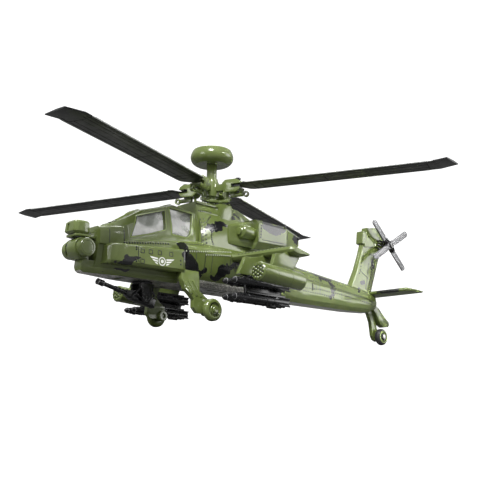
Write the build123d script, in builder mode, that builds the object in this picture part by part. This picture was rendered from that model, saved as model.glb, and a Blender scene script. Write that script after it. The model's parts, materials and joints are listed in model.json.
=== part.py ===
from build123d import *
import os
from math import cos, sin, radians, sqrt

os.makedirs("parts", exist_ok=True)

# Toy attack helicopter, about 1:64. Millimetres. The ship's own axes: mast at x = 0,
# nose toward -Y, port side (left) toward +X, wheels on z = 0.

# ---------------------------------------------------------------- driving dimensions
ROTOR_R = 116.2          # main rotor, tip radius
ROTOR_Z = 66.1           # height of the blade roots
BLADE_AZ = (-69.8, 20.2, 110.2, 200.2)   # where the four blades stand, from +X
BLADE_DROOP = (0.2, 0.6, 0.7, 0.5)       # degrees that each blade hangs below level
BLADE_PITCH = (1.5, 0.0, 1.5, 3.0)       # degrees, leading edge up
BLADE_CHORD = 12.6
MAST_Y = -0.9            # the rotor axis, just ahead of the roof's middle
MAST_R = 1.9             # mast journal
MAST_BORE_R = 1.95
POST_R = 2.45            # post between hub and radome
RADOME_R = 10.35
RADOME_Z = 82.2
TAIL_ROTOR_R = 19.2
TAIL_HUB = (134.05, 58.3)         # y, z of the tail rotor shaft
MAIN_WHEEL_R = 4.9
MAIN_AXLE = (-16.6, 4.9)         # y, z
MAIN_WHEEL_X = (17.75, 21.35)
TAIL_WHEEL_R = 4.7
TAIL_AXLE = (130.7, 4.7)
TAIL_WHEEL_X = (0.0, 3.4)
PIN_CLEAR = 0.05                 # radial, between a pin and its bore
BELLY_Z = 16.5
SPLIT_Z = 19.0                   # joint between the upper and lower body castings
BOOM_Y = 44.0                    # joint between body and tail boom
GUN_PIVOT = (-40.0, 8.9)         # y, z of the trunnion; the turret turns about x = 0, y
ROW_Y = 20.4306                     # ship's y of the middle of the whole toy


def ring(half):
    """A closed outline across the ship, from its port half."""
    return list(half) + [(-x, z) for x, z in reversed(half)]


def skin(stations, across=True):
    """Ruled skin through outlines (x, z) standing at stations y."""
    with BuildPart() as body:
        for y, outline in stations:
            with BuildSketch(Plane.XZ.offset(-y)):
                with BuildLine():
                    Polyline(*(ring(outline) if across else outline), close=True)
                make_face()
        loft(ruled=True)
    return body.part


def tower(stations):
    """Ruled skin through outlines (x, y) standing at heights z."""
    with BuildPart() as body:
        for z, outline in stations:
            with BuildSketch(Plane.XY.offset(z)):
                with BuildLine():
                    Polyline(*outline, close=True)
                make_face()
        loft(ruled=True)
    return body.part


def span(plane, stations):
    """Ruled skin through outlines standing at distances along a plane's normal."""
    with BuildPart() as body:
        for d, outline in stations:
            with BuildSketch(plane.offset(d)):
                with BuildLine():
                    Polyline(*outline, close=True)
                make_face()
        loft(ruled=True)
    return body.part


def slab(plane, outline, amount):
    """A flat plate of the given outline."""
    with BuildPart() as body:
        with BuildSketch(plane):
            with BuildLine():
                Polyline(*outline, close=True)
            make_face()
        extrude(amount=amount)
    return body.part


def rod(start, end, radius):
    """A round bar between two points."""
    a, b = Vector(*start), Vector(*end)
    with BuildPart() as body:
        with BuildSketch(Plane(origin=a, z_dir=b - a)):
            Circle(radius)
        extrude(amount=(b - a).length)
    return body.part


# ---------------------------------------------------------------- body castings
MID = [(11.2, SPLIT_Z), (13.9, 23.0), (15.6, 30.4), (15.6, 31.4), (10.8, 35.6), (10.2, 44.5), (8.2, 51.0)]
UPPER = [
    (-67.5, [(3.5, SPLIT_Z), (4.6, 22.0), (5.8, 28.2), (6.9, 28.6), (7.0, 33.6), (6.4, 35.2), (4.2, 36.4)]),
    (-62.0, [(4.8, SPLIT_Z), (6.0, 22.0), (7.0, 28.2), (7.7, 28.7), (7.9, 34.0), (7.3, 36.0), (5.2, 37.4)]),
    (-56.0, [(6.2, SPLIT_Z), (7.4, 22.0), (8.4, 28.3), (8.5, 29.2), (8.8, 34.2), (8.2, 36.6), (6.2, 38.4)]),
    (-28.2, [(8.1, SPLIT_Z), (8.5, 22.0), (8.5, 28.3), (8.8, 30.0), (8.9, 34.5), (8.4, 37.0), (6.6, 38.6)]),
    (-27.8, MID),
    (18.0, MID),
    (30.0, [(10.6, SPLIT_Z), (12.4, 23.0), (12.6, 29.4), (12.4, 30.4), (10.0, 35.6), (8.8, 42.0), (6.6, 47.0)]),
    (BOOM_Y, [(7.4, SPLIT_Z), (8.0, 23.0), (8.1, 27.6), (7.9, 28.6), (6.8, 33.0), (5.2, 37.2), (3.2, 39.4)]),
]
hull = skin(UPPER)
MID_IN = [(9.6, 17.0), (12.2, 23.0), (13.8, 30.2), (13.4, 30.8), (9.2, 34.8), (8.7, 44.0), (7.0, 49.6)]
UPPER_IN = [
    (-65.5, [(1.8, 17.0), (3.1, 22.0), (4.3, 27.6), (4.8, 28.6), (5.0, 32.6), (4.6, 33.6), (2.8, 34.6)]),
    (-55.0, [(4.2, 17.0), (5.9, 22.0), (7.0, 28.3), (7.1, 29.2), (7.1, 34.2), (6.8, 35.2), (4.8, 36.4)]),
    (-26.4, [(6.6, 17.0), (7.1, 22.0), (7.1, 28.3), (7.1, 30.0), (7.1, 34.5), (6.9, 35.2), (4.8, 36.4)]),
    (-26.0, MID_IN),
    (17.0, MID_IN),
    (29.0, [(9.2, 17.0), (10.8, 23.0), (11.0, 29.0), (10.8, 29.8), (8.4, 34.6), (7.4, 41.0), (5.2, 45.4)]),
    (BOOM_Y - 1.2, [(6.0, 17.0), (6.6, 23.0), (6.7, 27.4), (6.5, 28.0), (5.4, 32.2), (3.9, 36.2), (2.0, 38.0)]),
]
hull_hollow = skin(UPPER_IN)
# the cockpit's sill: a level cowl top, a step down at the screen, a rising side edge
COCKPIT_CUT = [(-72.0, 35.6), (-56.5, 37.3), (-56.5, 31.0), (-16.0, 36.3), (-16.0, 62.0), (-72.0, 62.0)]
cockpit_cut = slab(Plane.YZ.offset(-20), COCKPIT_CUT, 40)
# bosses for the three body screws, and the mast's floor
SCREWS_Y = (-60.0, 12.0, 37.0)

with BuildPart() as fuselage_upper:
    add(hull)
    add(hull_hollow, mode=Mode.SUBTRACT)
    add(cockpit_cut, mode=Mode.SUBTRACT)
    # a bulkhead closes the body behind the cockpit
    with BuildSketch(Plane.XZ.offset(16.0)):
        with BuildLine():
            Polyline(*ring([(8.4, 30.6), (8.4, 44.0), (6.8, 50.2)]), close=True)
        make_face()
    extrude(amount=-1.4)
    for y, top in zip(SCREWS_Y, (35.2, 50.2, 40.6)):
        with BuildSketch(Plane(origin=(0, y, SPLIT_Z))):
            Circle(2.5)
            Circle(0.95, mode=Mode.SUBTRACT)
        extrude(amount=top - SPLIT_Z)
    # the mast runs in a bore through the roof
    with Locations((0, MAST_Y, 50.0)):
        Cylinder(MAST_BORE_R, 6.0, mode=Mode.SUBTRACT)

LOWER = [
    (-73.0, [(1.9, BELLY_Z + 0.8), (2.6, SPLIT_Z - 0.4), (2.7, SPLIT_Z)]),
    (-71.6, [(2.1, BELLY_Z), (2.9, SPLIT_Z - 0.9), (3.0, SPLIT_Z)]),
    (-66.0, [(3.0, BELLY_Z), (3.9, SPLIT_Z - 1.0), (4.0, SPLIT_Z)]),
    (-56.0, [(5.2, BELLY_Z), (6.2, SPLIT_Z - 1.0), (6.4, SPLIT_Z)]),
    (-42.0, [(6.2, BELLY_Z), (7.3, SPLIT_Z - 1.0), (7.4, SPLIT_Z)]),
    (-28.2, [(6.8, BELLY_Z), (8.0, SPLIT_Z - 1.0), (8.1, SPLIT_Z)]),
    (-27.8, [(8.6, BELLY_Z), (10.7, SPLIT_Z - 1.1), (11.2, SPLIT_Z)]),
    (18.0, [(8.6, BELLY_Z), (10.7, SPLIT_Z - 1.1), (11.2, SPLIT_Z)]),
    (30.0, [(8.2, BELLY_Z), (10.2, SPLIT_Z - 1.1), (10.6, SPLIT_Z)]),
    (BOOM_Y, [(5.4, BELLY_Z), (7.0, SPLIT_Z - 1.1), (7.4, SPLIT_Z)]),
]
belly = skin(LOWER)
LOWER_IN = [
    (-64.5, [(1.6, 17.8), (2.1, 18.4), (2.3, 21.0)]),
    (-55.0, [(4.0, 17.8), (4.8, 18.4), (4.9, 21.0)]),
    (-28.6, [(5.8, 17.8), (6.4, 18.4), (6.6, 21.0)]),
    (-26.0, [(7.4, 17.8), (8.9, 18.4), (9.6, 21.0)]),
    (17.0, [(7.4, 17.8), (8.9, 18.4), (9.6, 21.0)]),
    (29.0, [(7.0, 17.8), (8.6, 18.4), (9.2, 21.0)]),
    (BOOM_Y - 1.2, [(4.2, 17.8), (5.4, 18.4), (6.0, 21.0)]),
]
belly_hollow = skin(LOWER_IN)
chin = tower([(SPLIT_Z, [(2.7, -73.0), (3.5, -66.6), (-3.5, -66.6), (-2.7, -73.0)]),
              (21.6, [(2.6, -72.8), (4.0, -66.6), (-4.0, -66.6), (-2.6, -72.8)])])

with BuildPart() as fuselage_lower:
    add(belly)
    add(belly_hollow, mode=Mode.SUBTRACT)
    add(chin)
    add(hull, mode=Mode.SUBTRACT)
    # screw seats: a post up to the joint, a counterbore from below
    for y in SCREWS_Y:
        with BuildSketch(Plane(origin=(0, y, 17.2))):
            Circle(2.5)
        extrude(amount=SPLIT_Z - 17.2)
        with Locations((0, y, 17.1)):
            Cylinder(1.9, 2.4, align=(Align.CENTER, Align.CENTER, Align.MAX), mode=Mode.SUBTRACT)
        with Locations((0, y, 18.0)):
            Cylinder(0.95, 6.0, mode=Mode.SUBTRACT)
    # the gun's pivot hole and the raised pad round it
    with BuildSketch(Plane(origin=(0, GUN_PIVOT[0], 17.6))):
        Circle(4.2)
    extrude(amount=1.0)
    with Locations((0, GUN_PIVOT[0], 17.5)):
        Cylinder(2.0, 6.0, mode=Mode.SUBTRACT)
    # speaker slots and grooves moulded in the belly
    for y in (-4.0, 0.0, 4.0):
        with BuildSketch(Plane(origin=(0, y, 16.0))):
            with Locations((-4.0, 0), (4.0, 0)):
                SlotOverall(5.4, 1.1)
        extrude(amount=3.0, mode=Mode.SUBTRACT)
    with BuildSketch(Plane(origin=(0, -52.5, 16.0))):
        SlotOverall(6.0, 1.6)
    extrude(amount=1.1, mode=Mode.SUBTRACT)
    with BuildSketch(Plane(origin=(0, 26.0, 16.0))):
        SlotOverall(7.0, 1.6, rotation=90)
    extrude(amount=1.1, mode=Mode.SUBTRACT)

with BuildPart() as body_screws:
    for y in SCREWS_Y:
        with Locations((0, y, 17.1)):
            Cylinder(1.8, 0.9, align=(Align.CENTER, Align.CENTER, Align.MAX))
            Cylinder(0.9, 9.0, align=(Align.CENTER, Align.CENTER, Align.MIN))
        with BuildSketch(Plane(origin=(0, y, 16.1))):
            Rectangle(2.2, 0.5)
            Rectangle(0.5, 2.2)
        extrude(amount=0.5, mode=Mode.SUBTRACT)

# ---------------------------------------------------------------- tail boom, fin, tailplane
BOOM = [
    (BOOM_Y, [(5.4, 16.6), (7.4, SPLIT_Z), (8.0, 23.0), (7.9, 28.2), (5.2, 37.0), (3.2, 39.2)]),
    (58.0, [(4.6, 16.6), (6.6, 18.8), (7.1, 22.0), (7.0, 27.5), (4.8, 33.6), (2.6, 35.4)]),
    (100.0, [(3.6, 16.7), (5.2, 18.8), (5.7, 21.4), (5.6, 25.2), (3.8, 30.0), (2.0, 31.6)]),
    (117.6, [(2.8, 17.4), (4.4, 19.2), (4.9, 21.2), (4.9, 23.8), (3.4, 28.4), (1.9, 29.8)]),
    (125.2, [(2.0, 20.4), (2.8, 21.6), (3.1, 22.4), (3.2, 24.0), (2.4, 27.2), (1.4, 28.2)]),
]
boom = skin(BOOM)
BOOM_IN = [
    (BOOM_Y - 1.0, [(4.0, 18.0), (5.8, 20.0), (6.4, 23.0), (6.3, 27.6), (3.8, 35.2), (2.0, 37.2)]),
    (58.0, [(3.3, 18.0), (5.1, 20.0), (5.6, 22.2), (5.5, 26.8), (3.5, 32.4), (1.6, 33.9)]),
    (98.0, [(2.3, 18.1), (3.8, 20.0), (4.2, 21.6), (4.1, 24.6), (2.6, 28.8), (1.0, 30.1)]),
]
boom_hollow = skin(BOOM_IN)
# fin outline at heights: leading edge, trailing edge, half thickness
FIN = [(29.0, 101.6, 123.6, 2.2), (41.0, 108.4, 128.3, 2.0), (50.0, 112.3, 131.8, 1.9), (59.9, 115.9, 137.4, 1.8),
       (64.4, 119.2, 137.6, 1.7), (66.6, 121.1, 137.3, 1.5), (68.0, 124.0, 137.0, 1.35), (68.6, 127.2, 136.8, 1.3)]


def fin_outline(le, te, t):
    c = te - le
    return [(0.35 * t, le), (0.85 * t, le + 0.07 * c), (t, le + 0.28 * c), (t, te - 0.28 * c), (0.3, te),
            (-0.3, te), (-t, te - 0.28 * c), (-t, le + 0.28 * c), (-0.85 * t, le + 0.07 * c), (-0.35 * t, le)]


fin = tower([(z, fin_outline(le, te, t)) for z, le, te, t in FIN])
STAB_Z = (28.2, 30.2)
stab_blank = tower([(STAB_Z[0], [(26.0, 121.4), (28.0, 123.4), (28.0, 134.2), (-28.0, 134.2), (-28.0, 123.4), (-26.0, 121.4)]),
                    (STAB_Z[0] + 0.75, [(26.2, 121.0), (28.4, 123.2), (28.4, 134.8), (-28.4, 134.8), (-28.4, 123.2), (-26.2, 121.0)]),
                    (STAB_Z[1], [(24.4, 122.0), (25.4, 123.0), (25.4, 133.2), (-25.4, 133.2), (-25.4, 123.0), (-24.4, 122.0)])])

with BuildPart() as tail_boom:
    add(boom)
    add(boom_hollow, mode=Mode.SUBTRACT)
    add(fin)
    # leading edge fairing where the fin grows out of the boom
    add(tower([(29.5, [(1.2, 99.2), (1.9, 112.0), (-1.9, 112.0), (-1.2, 99.2)]),
               (32.6, [(0.5, 103.4), (1.6, 112.0), (-1.6, 112.0), (-0.5, 103.4)])]))
    # shelf for the tailplane
    with BuildSketch(Plane.YZ.offset(-6)):
        with BuildLine():
            Polyline((120.9, STAB_Z[0]), (140.0, STAB_Z[0]), (140.0, STAB_Z[1]), (120.9, STAB_Z[1]), close=True)
        make_face()
    extrude(amount=12, mode=Mode.SUBTRACT)

with BuildPart() as stabilator:
    add(stab_blank)
    chamfer(stabilator.edges().filter_by(Axis.X).group_by(Axis.Z)[-1], 0.3)

with BuildPart() as tail_gearbox:
    # output housing of the tail rotor, on the fin's port side
    add(rod((0.4, *TAIL_HUB), (4.6, *TAIL_HUB), 2.7))
    add(slab(Plane.YZ.offset(0.4), [(115.9, 55.4), (126.5, 56.8), (126.5, 62.0), (119.2, 61.2), (117.0, 60.2)], 2.1))
    add(slab(Plane.YZ.offset(0.4), [(126.0, 57.0), (134.05, 55.8), (134.05, 60.8), (126.0, 61.6)], 2.6))
    add(fin, mode=Mode.SUBTRACT)
    with Locations(Plane(origin=(5.0, *TAIL_HUB), z_dir=(1, 0, 0))):
        Cylinder(1.15, 4.8, mode=Mode.SUBTRACT)

# ---------------------------------------------------------------- side fairings
def cheek_outline(x, z):
    return [(3.4, 20.5), (x - 0.9, 20.5), (x, 21.6), (x, z), (x - 0.9, z + 0.55), (3.4, z + 1.5)]


cheek = skin([(-65.2, cheek_outline(9.3, 27.2)), (-64.2, cheek_outline(10.9, 27.9)), (-62.2, cheek_outline(11.9, 28.2)),
              (-58.0, cheek_outline(12.3, 28.5)), (-51.5, cheek_outline(12.8, 28.8)), (-28.6, cheek_outline(14.8, 29.9))],
             across=False)

with BuildPart() as cheek_fairing_left:
    add(cheek)
    add(hull, mode=Mode.SUBTRACT)

with BuildPart() as cheek_fairing_right:
    mirror(cheek_fairing_left.part, about=Plane.YZ)

# ---------------------------------------------------------------- canopy and cockpit
CANOPY = [
    (-63.6, [(3.2, 30.0), (3.2, 36.3), (2.6, 36.9), (1.2, 37.2)]),
    (-60.0, [(6.4, 30.0), (6.2, 36.9), (4.4, 38.9), (1.8, 39.3)]),
    (-54.6, [(8.8, 29.5), (7.6, 38.2), (5.4, 41.4), (2.2, 42.3)]),
    (-46.6, [(8.9, 29.5), (7.4, 41.5), (5.4, 46.2), (2.4, 47.3)]),
    (-28.0, [(9.0, 30.0), (7.8, 42.0), (5.4, 52.0), (2.2, 53.2)]),
    (-16.0, [(9.2, 30.0), (8.6, 42.0), (6.4, 50.2), (2.6, 51.2)]),
]


def inward(stations, t, front, rear, top):
    """The same skin moved inward by t, cut off at its front and rear."""
    out = []
    for n, (y, half) in enumerate(stations):
        yy = y + front if n == 0 else (y - rear if n == len(stations) - 1 else y + 0.6 * t)
        out.append((yy, [(max(x - t, 0.4), z if k == 0 else z - (t if k > 1 else 0.5 * t) * top)
                         for k, (x, z) in enumerate(half)]))
    return out


canopy_outer = skin(CANOPY)
canopy_inner = skin(inward(CANOPY, 0.9, 1.2, 0.9, 1.0))
glass_outer = skin(inward(CANOPY, 0.95, 1.3, 0.95, 1.02))
glass_inner = skin(inward(CANOPY, 1.65, 2.6, 1.7, 1.05))
# everything below the sill line
sill = slab(Plane.YZ.offset(-20), [(-72.0, 20.0), (-72.0, 35.6), (-56.5, 37.3), (-56.5, 31.0), (-16.0, 36.3), (-10.0, 37.1), (-10.0, 20.0)], 40)
WINDOW_FRONT = [(-52.6, 33.6), (-48.8, 43.0), (-34.2, 48.1), (-35.0, 39.4), (-43.5, 36.2)]
WINDOW_REAR = [(-30.6, 50.0), (-18.4, 49.2), (-20.8, 39.8), (-22.6, 37.9), (-30.6, 38.2)]

with BuildPart() as canopy_frame:
    add(canopy_outer)
    add(canopy_inner, mode=Mode.SUBTRACT)
    add(sill, mode=Mode.SUBTRACT)
    # side windows, both sides at once
    for outline in (WINDOW_FRONT, WINDOW_REAR):
        with BuildSketch(Plane.YZ.offset(-20)):
            with BuildLine():
                Polyline(*outline, close=True)
            make_face()
        extrude(amount=40, mode=Mode.SUBTRACT)
    # windscreen and roof panels
    with BuildSketch(Plane.XY.offset(38.2)):
        with BuildLine():
            Polyline((-2.8, -60.6), (-4.4, -57.2), (-4.1, -48.4), (4.1, -48.4), (4.4, -57.2), (2.8, -60.6), close=True)
        make_face()
        with BuildLine():
            Polyline((-3.9, -45.6), (-3.9, -30.2), (3.9, -30.2), (3.9, -45.6), close=True)
        make_face()
        with BuildLine():
            Polyline((-3.9, -26.6), (-4.4, -18.6), (4.4, -18.6), (3.9, -26.6), close=True)
        make_face()
    extrude(amount=20, mode=Mode.SUBTRACT)

with BuildPart() as canopy_glazing:
    add(glass_outer)
    add(glass_inner, mode=Mode.SUBTRACT)
    add(sill, mode=Mode.SUBTRACT)

with BuildPart() as cockpit_tub:
    # floor, bulkhead between the crew, two instrument panels
    with BuildSketch(Plane.XY.offset(28.6)):
        with Locations((0, -36.0)):
            Rectangle(14.2, 38.0)
    extrude(amount=1.2)
    add(slab(Plane.YZ.offset(-5.6), [(-54.6, 29.6), (-54.6, 33.0), (-52.4, 36.4), (-49.6, 37.4), (-48.8, 36.0), (-49.4, 29.6)], 11.2))
    add(slab(Plane.YZ.offset(-5.6), [(-37.4, 29.6), (-36.2, 40.6), (-33.6, 42.4), (-32.4, 41.4), (-33.4, 29.6)], 11.2))
    # side consoles
    with BuildSketch(Plane.XY.offset(29.7)):
        with Locations((6.2, -36.0), (-6.2, -36.0)):
            Rectangle(1.4, 36.0)
    extrude(amount=2.4)
    add(canopy_glazing.part, mode=Mode.SUBTRACT)

with BuildPart() as cockpit_seats:
    for y, z in ((-41.6, 29.8), (-24.6, 29.8)):
        add(slab(Plane.YZ.offset(-2.7), [(y - 3.6, z), (y - 3.6, z + 3.4), (y + 1.0, z + 3.0), (y + 1.8, z + 9.6), (y + 3.6, z + 9.6), (y + 3.2, z)], 5.4))
        with Locations((0, y - 0.2, z + 9.6)):
            Sphere(2.5)
        with BuildSketch(Plane(origin=(0, y - 0.2, z + 3.0))):
            Circle(2.4)
        extrude(amount=5.6)

# ---------------------------------------------------------------- rotor pylon, engines
pylon = skin([
    (-16.0, [(7.6, 48.0), (7.4, 51.6), (6.4, 55.0), (5.4, 55.6)]),
    (4.0, [(7.8, 48.0), (7.6, 52.6), (6.2, 57.0), (5.2, 57.8)]),
    (12.0, [(7.2, 47.0), (7.0, 51.6), (5.4, 56.8), (4.2, 57.6)]),
    (26.0, [(6.4, 43.0), (6.2, 46.6), (4.6, 51.6), (3.4, 52.4)]),
    (41.0, [(4.6, 37.0), (4.4, 39.6), (3.0, 44.0), (2.0, 44.6)]),
])

with BuildPart() as rotor_pylon:
    add(pylon)
    # lip of the roof plate, and the box beside the mast
    add(slab(Plane.XY.offset(55.3), [(7.0, -15.9), (7.2, -3.0), (-7.2, -3.0), (-7.0, -15.9)], 1.0))
    add(slab(Plane.XY.offset(49.0), [(8.5, -2.6), (8.5, 4.6), (-8.5, 4.6), (-8.5, -2.6)], 8.2))
    add(hull, mode=Mode.SUBTRACT)
    with Locations((0, MAST_Y, 54.0)):
        Cylinder(MAST_BORE_R, 12.0, mode=Mode.SUBTRACT)

NACELLE = [
    (14.0, [(7.0, 37.0), (14.4, 37.4), (16.9, 40.4), (17.0, 49.6), (15.2, 51.4), (7.0, 51.5)]),
    (34.6, [(5.0, 38.2), (13.6, 38.8), (16.2, 41.4), (16.4, 49.2), (14.6, 51.2), (5.0, 51.2)]),
    (47.0, [(3.0, 41.4), (10.8, 42.2), (13.0, 43.6), (13.2, 47.8), (11.8, 49.2), (3.0, 49.2)]),
]
INTAKE = [
    (0.8, [(7.0, 37.6), (10.6, 38.2), (11.0, 39.8), (11.0, 46.6), (10.6, 47.6), (7.0, 47.8)]),
    (14.0, [(7.0, 37.2), (12.8, 38.0), (13.6, 40.0), (13.6, 49.2), (12.6, 50.6), (7.0, 50.8)]),
]
nacelle = skin(NACELLE, across=False)
intake = skin(INTAKE, across=False)

with BuildPart() as engine_nacelle_left:
    add(nacelle)
    add(intake)
    # exhaust mouth at the rear
    with BuildSketch(Plane.XZ.offset(-47.0)):
        with BuildLine():
            Polyline((6.6, 43.2), (10.6, 43.6), (12.0, 44.6), (12.0, 47.2), (11.2, 48.1), (6.6, 48.2), close=True)
        make_face()
    extrude(amount=4.4, mode=Mode.SUBTRACT)
    add(hull, mode=Mode.SUBTRACT)
    add(pylon, mode=Mode.SUBTRACT)
    # the frame standing proud round the engine's front panel
    add(slab(Plane.YZ.offset(16.9), [(13.6, 40.6), (14.6, 40.6), (14.6, 49.4), (13.6, 49.4)], 0.5))

with BuildPart() as engine_nacelle_right:
    mirror(engine_nacelle_left.part, about=Plane.YZ)

with BuildPart() as nose_gearbox_left:
    add(rod((13.0, 6.0, 44.6), (13.0, 14.0, 44.6), 3.3))
    add(rod((13.0, 4.9, 44.6), (13.0, 6.2, 44.6), 1.7))
    chamfer(nose_gearbox_left.edges().filter_by(GeomType.CIRCLE).group_by(Axis.Y)[1], 0.5)
    add(intake, mode=Mode.SUBTRACT)
    add(nacelle, mode=Mode.SUBTRACT)
    add(hull, mode=Mode.SUBTRACT)

with BuildPart() as nose_gearbox_right:
    mirror(nose_gearbox_left.part, about=Plane.YZ)

# ---------------------------------------------------------------- stub wings and stores
def wing_outline(le, te, zc, t, sag):
    """Aerofoil (y, z) with a round leading edge and a thin trailing edge that sags."""
    m = le + 0.35 * (te - le)
    return [(le, zc), (le + 0.5, zc + 0.62 * t), (le + 1.7, zc + 0.95 * t), (m, zc + t - 0.3 * sag), (te, zc + 0.25 - sag),
            (te, zc - 0.25 - sag), (m, zc - t - 0.3 * sag), (le + 1.7, zc - 0.95 * t), (le + 0.5, zc - 0.62 * t)]


WING = [(9.0, wing_outline(-4.6, 20.4, 30.3, 1.9, 0.0)), (15.5, wing_outline(-1.8, 20.0, 30.6, 1.9, 0.0)),
        (51.6, wing_outline(-2.1, 10.3, 29.6, 1.9, 1.0)), (53.0, wing_outline(-1.0, 9.4, 29.5, 1.1, 0.9))]
wing = span(Plane.YZ, WING)
POD_X = 49.0
pod_axis = Plane(origin=(POD_X, -18.37, 18.48), z_dir=(0, 0.99845, -0.05574))

with BuildPart() as stub_wing_left:
    add(wing)
    add(hull, mode=Mode.SUBTRACT)

with BuildPart() as stub_wing_right:
    mirror(stub_wing_left.part, about=Plane.YZ)

with BuildPart() as pod_blank:
    with BuildSketch(pod_axis):
        Circle(3.95)
    extrude(amount=26.4)

with BuildPart() as rocket_pod_left:
    add(pod_blank.part)
    chamfer(rocket_pod_left.edges().filter_by(GeomType.CIRCLE).sort_by(Axis.Y)[-1], 0.6)
    chamfer(rocket_pod_left.edges().filter_by(GeomType.CIRCLE).sort_by(Axis.Y)[0], 0.35)
    # nineteen domed tube ends
    with BuildSketch(pod_axis.offset(-0.35)):
        Circle(0.62)
        with PolarLocations(1.55, 6):
            Circle(0.62)
        with PolarLocations(2.95, 12):
            Circle(0.62)
    extrude(amount=0.6)
    chamfer(rocket_pod_left.edges().filter_by(GeomType.CIRCLE).filter_by(lambda e: e.radius < 0.7 and e.center().Y < -18.65), 0.22)

with BuildPart() as rocket_pod_right:
    mirror(rocket_pod_left.part, about=Plane.YZ)

with BuildPart() as outer_pylon_left:
    add(slab(Plane.YZ.offset(POD_X - 1.0), [(-8.9, 26.9), (-10.7, 21.8), (-10.2, 20.0), (0.8, 20.0), (3.5, 23.0), (6.0, 26.8), (6.2, 29.2), (-1.0, 29.2), (-2.4, 28.2), (-5.6, 27.4)], 2.0))
    # cut where the wing above and the pod below begin
    add(wing, mode=Mode.SUBTRACT)
    add(pod_blank.part, mode=Mode.SUBTRACT)

with BuildPart() as outer_pylon_right:
    mirror(outer_pylon_left.part, about=Plane.YZ)

RACK_X = 34.5
with BuildPart() as inner_pylon_left:
    add(slab(Plane.YZ.offset(RACK_X - 1.0), [(-12.1, 27.1), (-16.3, 19.1), (8.2, 19.1), (11.4, 27.6), (11.4, 29.6), (-1.0, 29.6), (-2.4, 28.4), (-8.4, 27.3)], 2.0))
    add(wing, mode=Mode.SUBTRACT)

with BuildPart() as inner_pylon_right:
    mirror(inner_pylon_left.part, about=Plane.YZ)

RAILS_Z = (17.85, 10.95)         # undersides of the upper and lower rails
MISSILE_X = (RACK_X - 2.75, RACK_X + 2.75)
with BuildPart() as missile_rack_left:
    add(slab(Plane.YZ.offset(RACK_X - 0.7), [(-12.6, 19.1), (-12.2, 16.3), (-11.5, 10.95), (10.1, 10.95), (10.9, 16.3), (8.2, 19.1)], 1.4))
    for z in RAILS_Z:
        with BuildSketch(Plane.XY.offset(z)):
            with Locations((RACK_X, -1.1)):
                Rectangle(6.8, 3.0)
            with Locations((RACK_X, -9.1), (RACK_X, 7.1)):
                Rectangle(6.4, 2.2)
            with Locations((MISSILE_X[0], -1.1), (MISSILE_X[1], -1.1)):
                Rectangle(1.5, 22.6)
        extrude(amount=1.0)

with BuildPart() as missile_rack_right:
    mirror(missile_rack_left.part, about=Plane.YZ)

with BuildPart() as missiles_left:
    for z in RAILS_Z:
        for x in MISSILE_X:
            zc = z - 1.95
            # body of revolution with a domed seeker
            with BuildSketch(Plane(origin=(x, 0, zc), x_dir=(0, 1, 0), z_dir=(1, 0, 0))):
                with BuildLine():
                    Polyline((-22.0, 0), (12.5, 0), (12.5, 1.2), (11.8, 1.55), (-18.2, 1.55), (-18.8, 1.4), (-20.6, 1.3), (-21.7, 0.7), close=True)
                make_face()
            revolve(axis=Axis((x, 0, zc), (0, 1, 0)))
            # shoes that hang on the rail
            with BuildSketch(Plane.XY.offset(zc)):
                with Locations((x, -8.5), (x, 6.0)):
                    Rectangle(0.9, 3.0)
            extrude(amount=1.95)
            # fins in a cross, turned 45 degrees
            for a in (45, 135):
                with BuildSketch(Plane(origin=(x, 0, zc), x_dir=(0, 1, 0), z_dir=(sin(radians(a)), 0, cos(radians(a))))):
                    with BuildLine():
                        Polyline((6.6, -2.6), (12.2, -2.6), (12.2, 2.6), (6.6, 2.6), (4.6, 1.2), (4.6, -1.2), close=True)
                    make_face()
                    with BuildLine():
                        Polyline((-16.2, -2.1), (-14.6, -2.1), (-14.6, 2.1), (-16.2, 2.1), (-17.4, 1.2), (-17.4, -1.2), close=True)
                    make_face()
                extrude(amount=0.2, both=True)

with BuildPart() as missiles_right:
    mirror(missiles_left.part, about=Plane.YZ)

# ---------------------------------------------------------------- landing gear
leg = tower([
    (3.2, [(15.3, -23.2), (17.3, -23.2), (17.3, -15.6), (15.3, -15.6)]),
    (5.4, [(15.2, -25.4), (17.3, -25.4), (17.3, -14.4), (15.2, -14.4)]),
    (9.0, [(14.7, -25.1), (17.1, -25.1), (17.1, -15.6), (14.7, -15.6)]),
    (10.8, [(14.3, -26.6), (16.9, -26.6), (16.9, -18.6), (14.3, -18.6)]),
    (13.0, [(13.7, -29.0), (16.4, -29.0), (16.4, -21.4), (13.7, -21.4)]),
    (18.0, [(12.0, -30.2), (14.8, -30.2), (14.8, -20.2), (12.0, -20.2)]),
    (22.0, [(11.0, -29.6), (13.4, -29.6), (13.4, -19.6), (11.0, -19.6)]),
])

with BuildPart() as main_gear_leg_left:
    add(leg)
    # ribs down the strut's face, a spur at the foot, a round end and an inner boss
    for y0, z0, y1, z1 in ((-29.2, 16.6, -26.2, 11.4), (-26.8, 17.0, -23.4, 10.6), (-24.2, 17.2, -20.8, 10.4)):
        add(rod((15.0, y0, z0), (16.6, y1, z1), 0.75))
    add(rod((14.1, *MAIN_AXLE), (17.3, *MAIN_AXLE), 2.4))
    add(hull, mode=Mode.SUBTRACT)
    add(belly, mode=Mode.SUBTRACT)
    add(cheek, mode=Mode.SUBTRACT)
    with Locations(Plane(origin=(16.0, *MAIN_AXLE), z_dir=(1, 0, 0))):
        Cylinder(1.0, 6.0, mode=Mode.SUBTRACT)

with BuildPart() as main_gear_leg_right:
    mirror(main_gear_leg_left.part, about=Plane.YZ)

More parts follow.
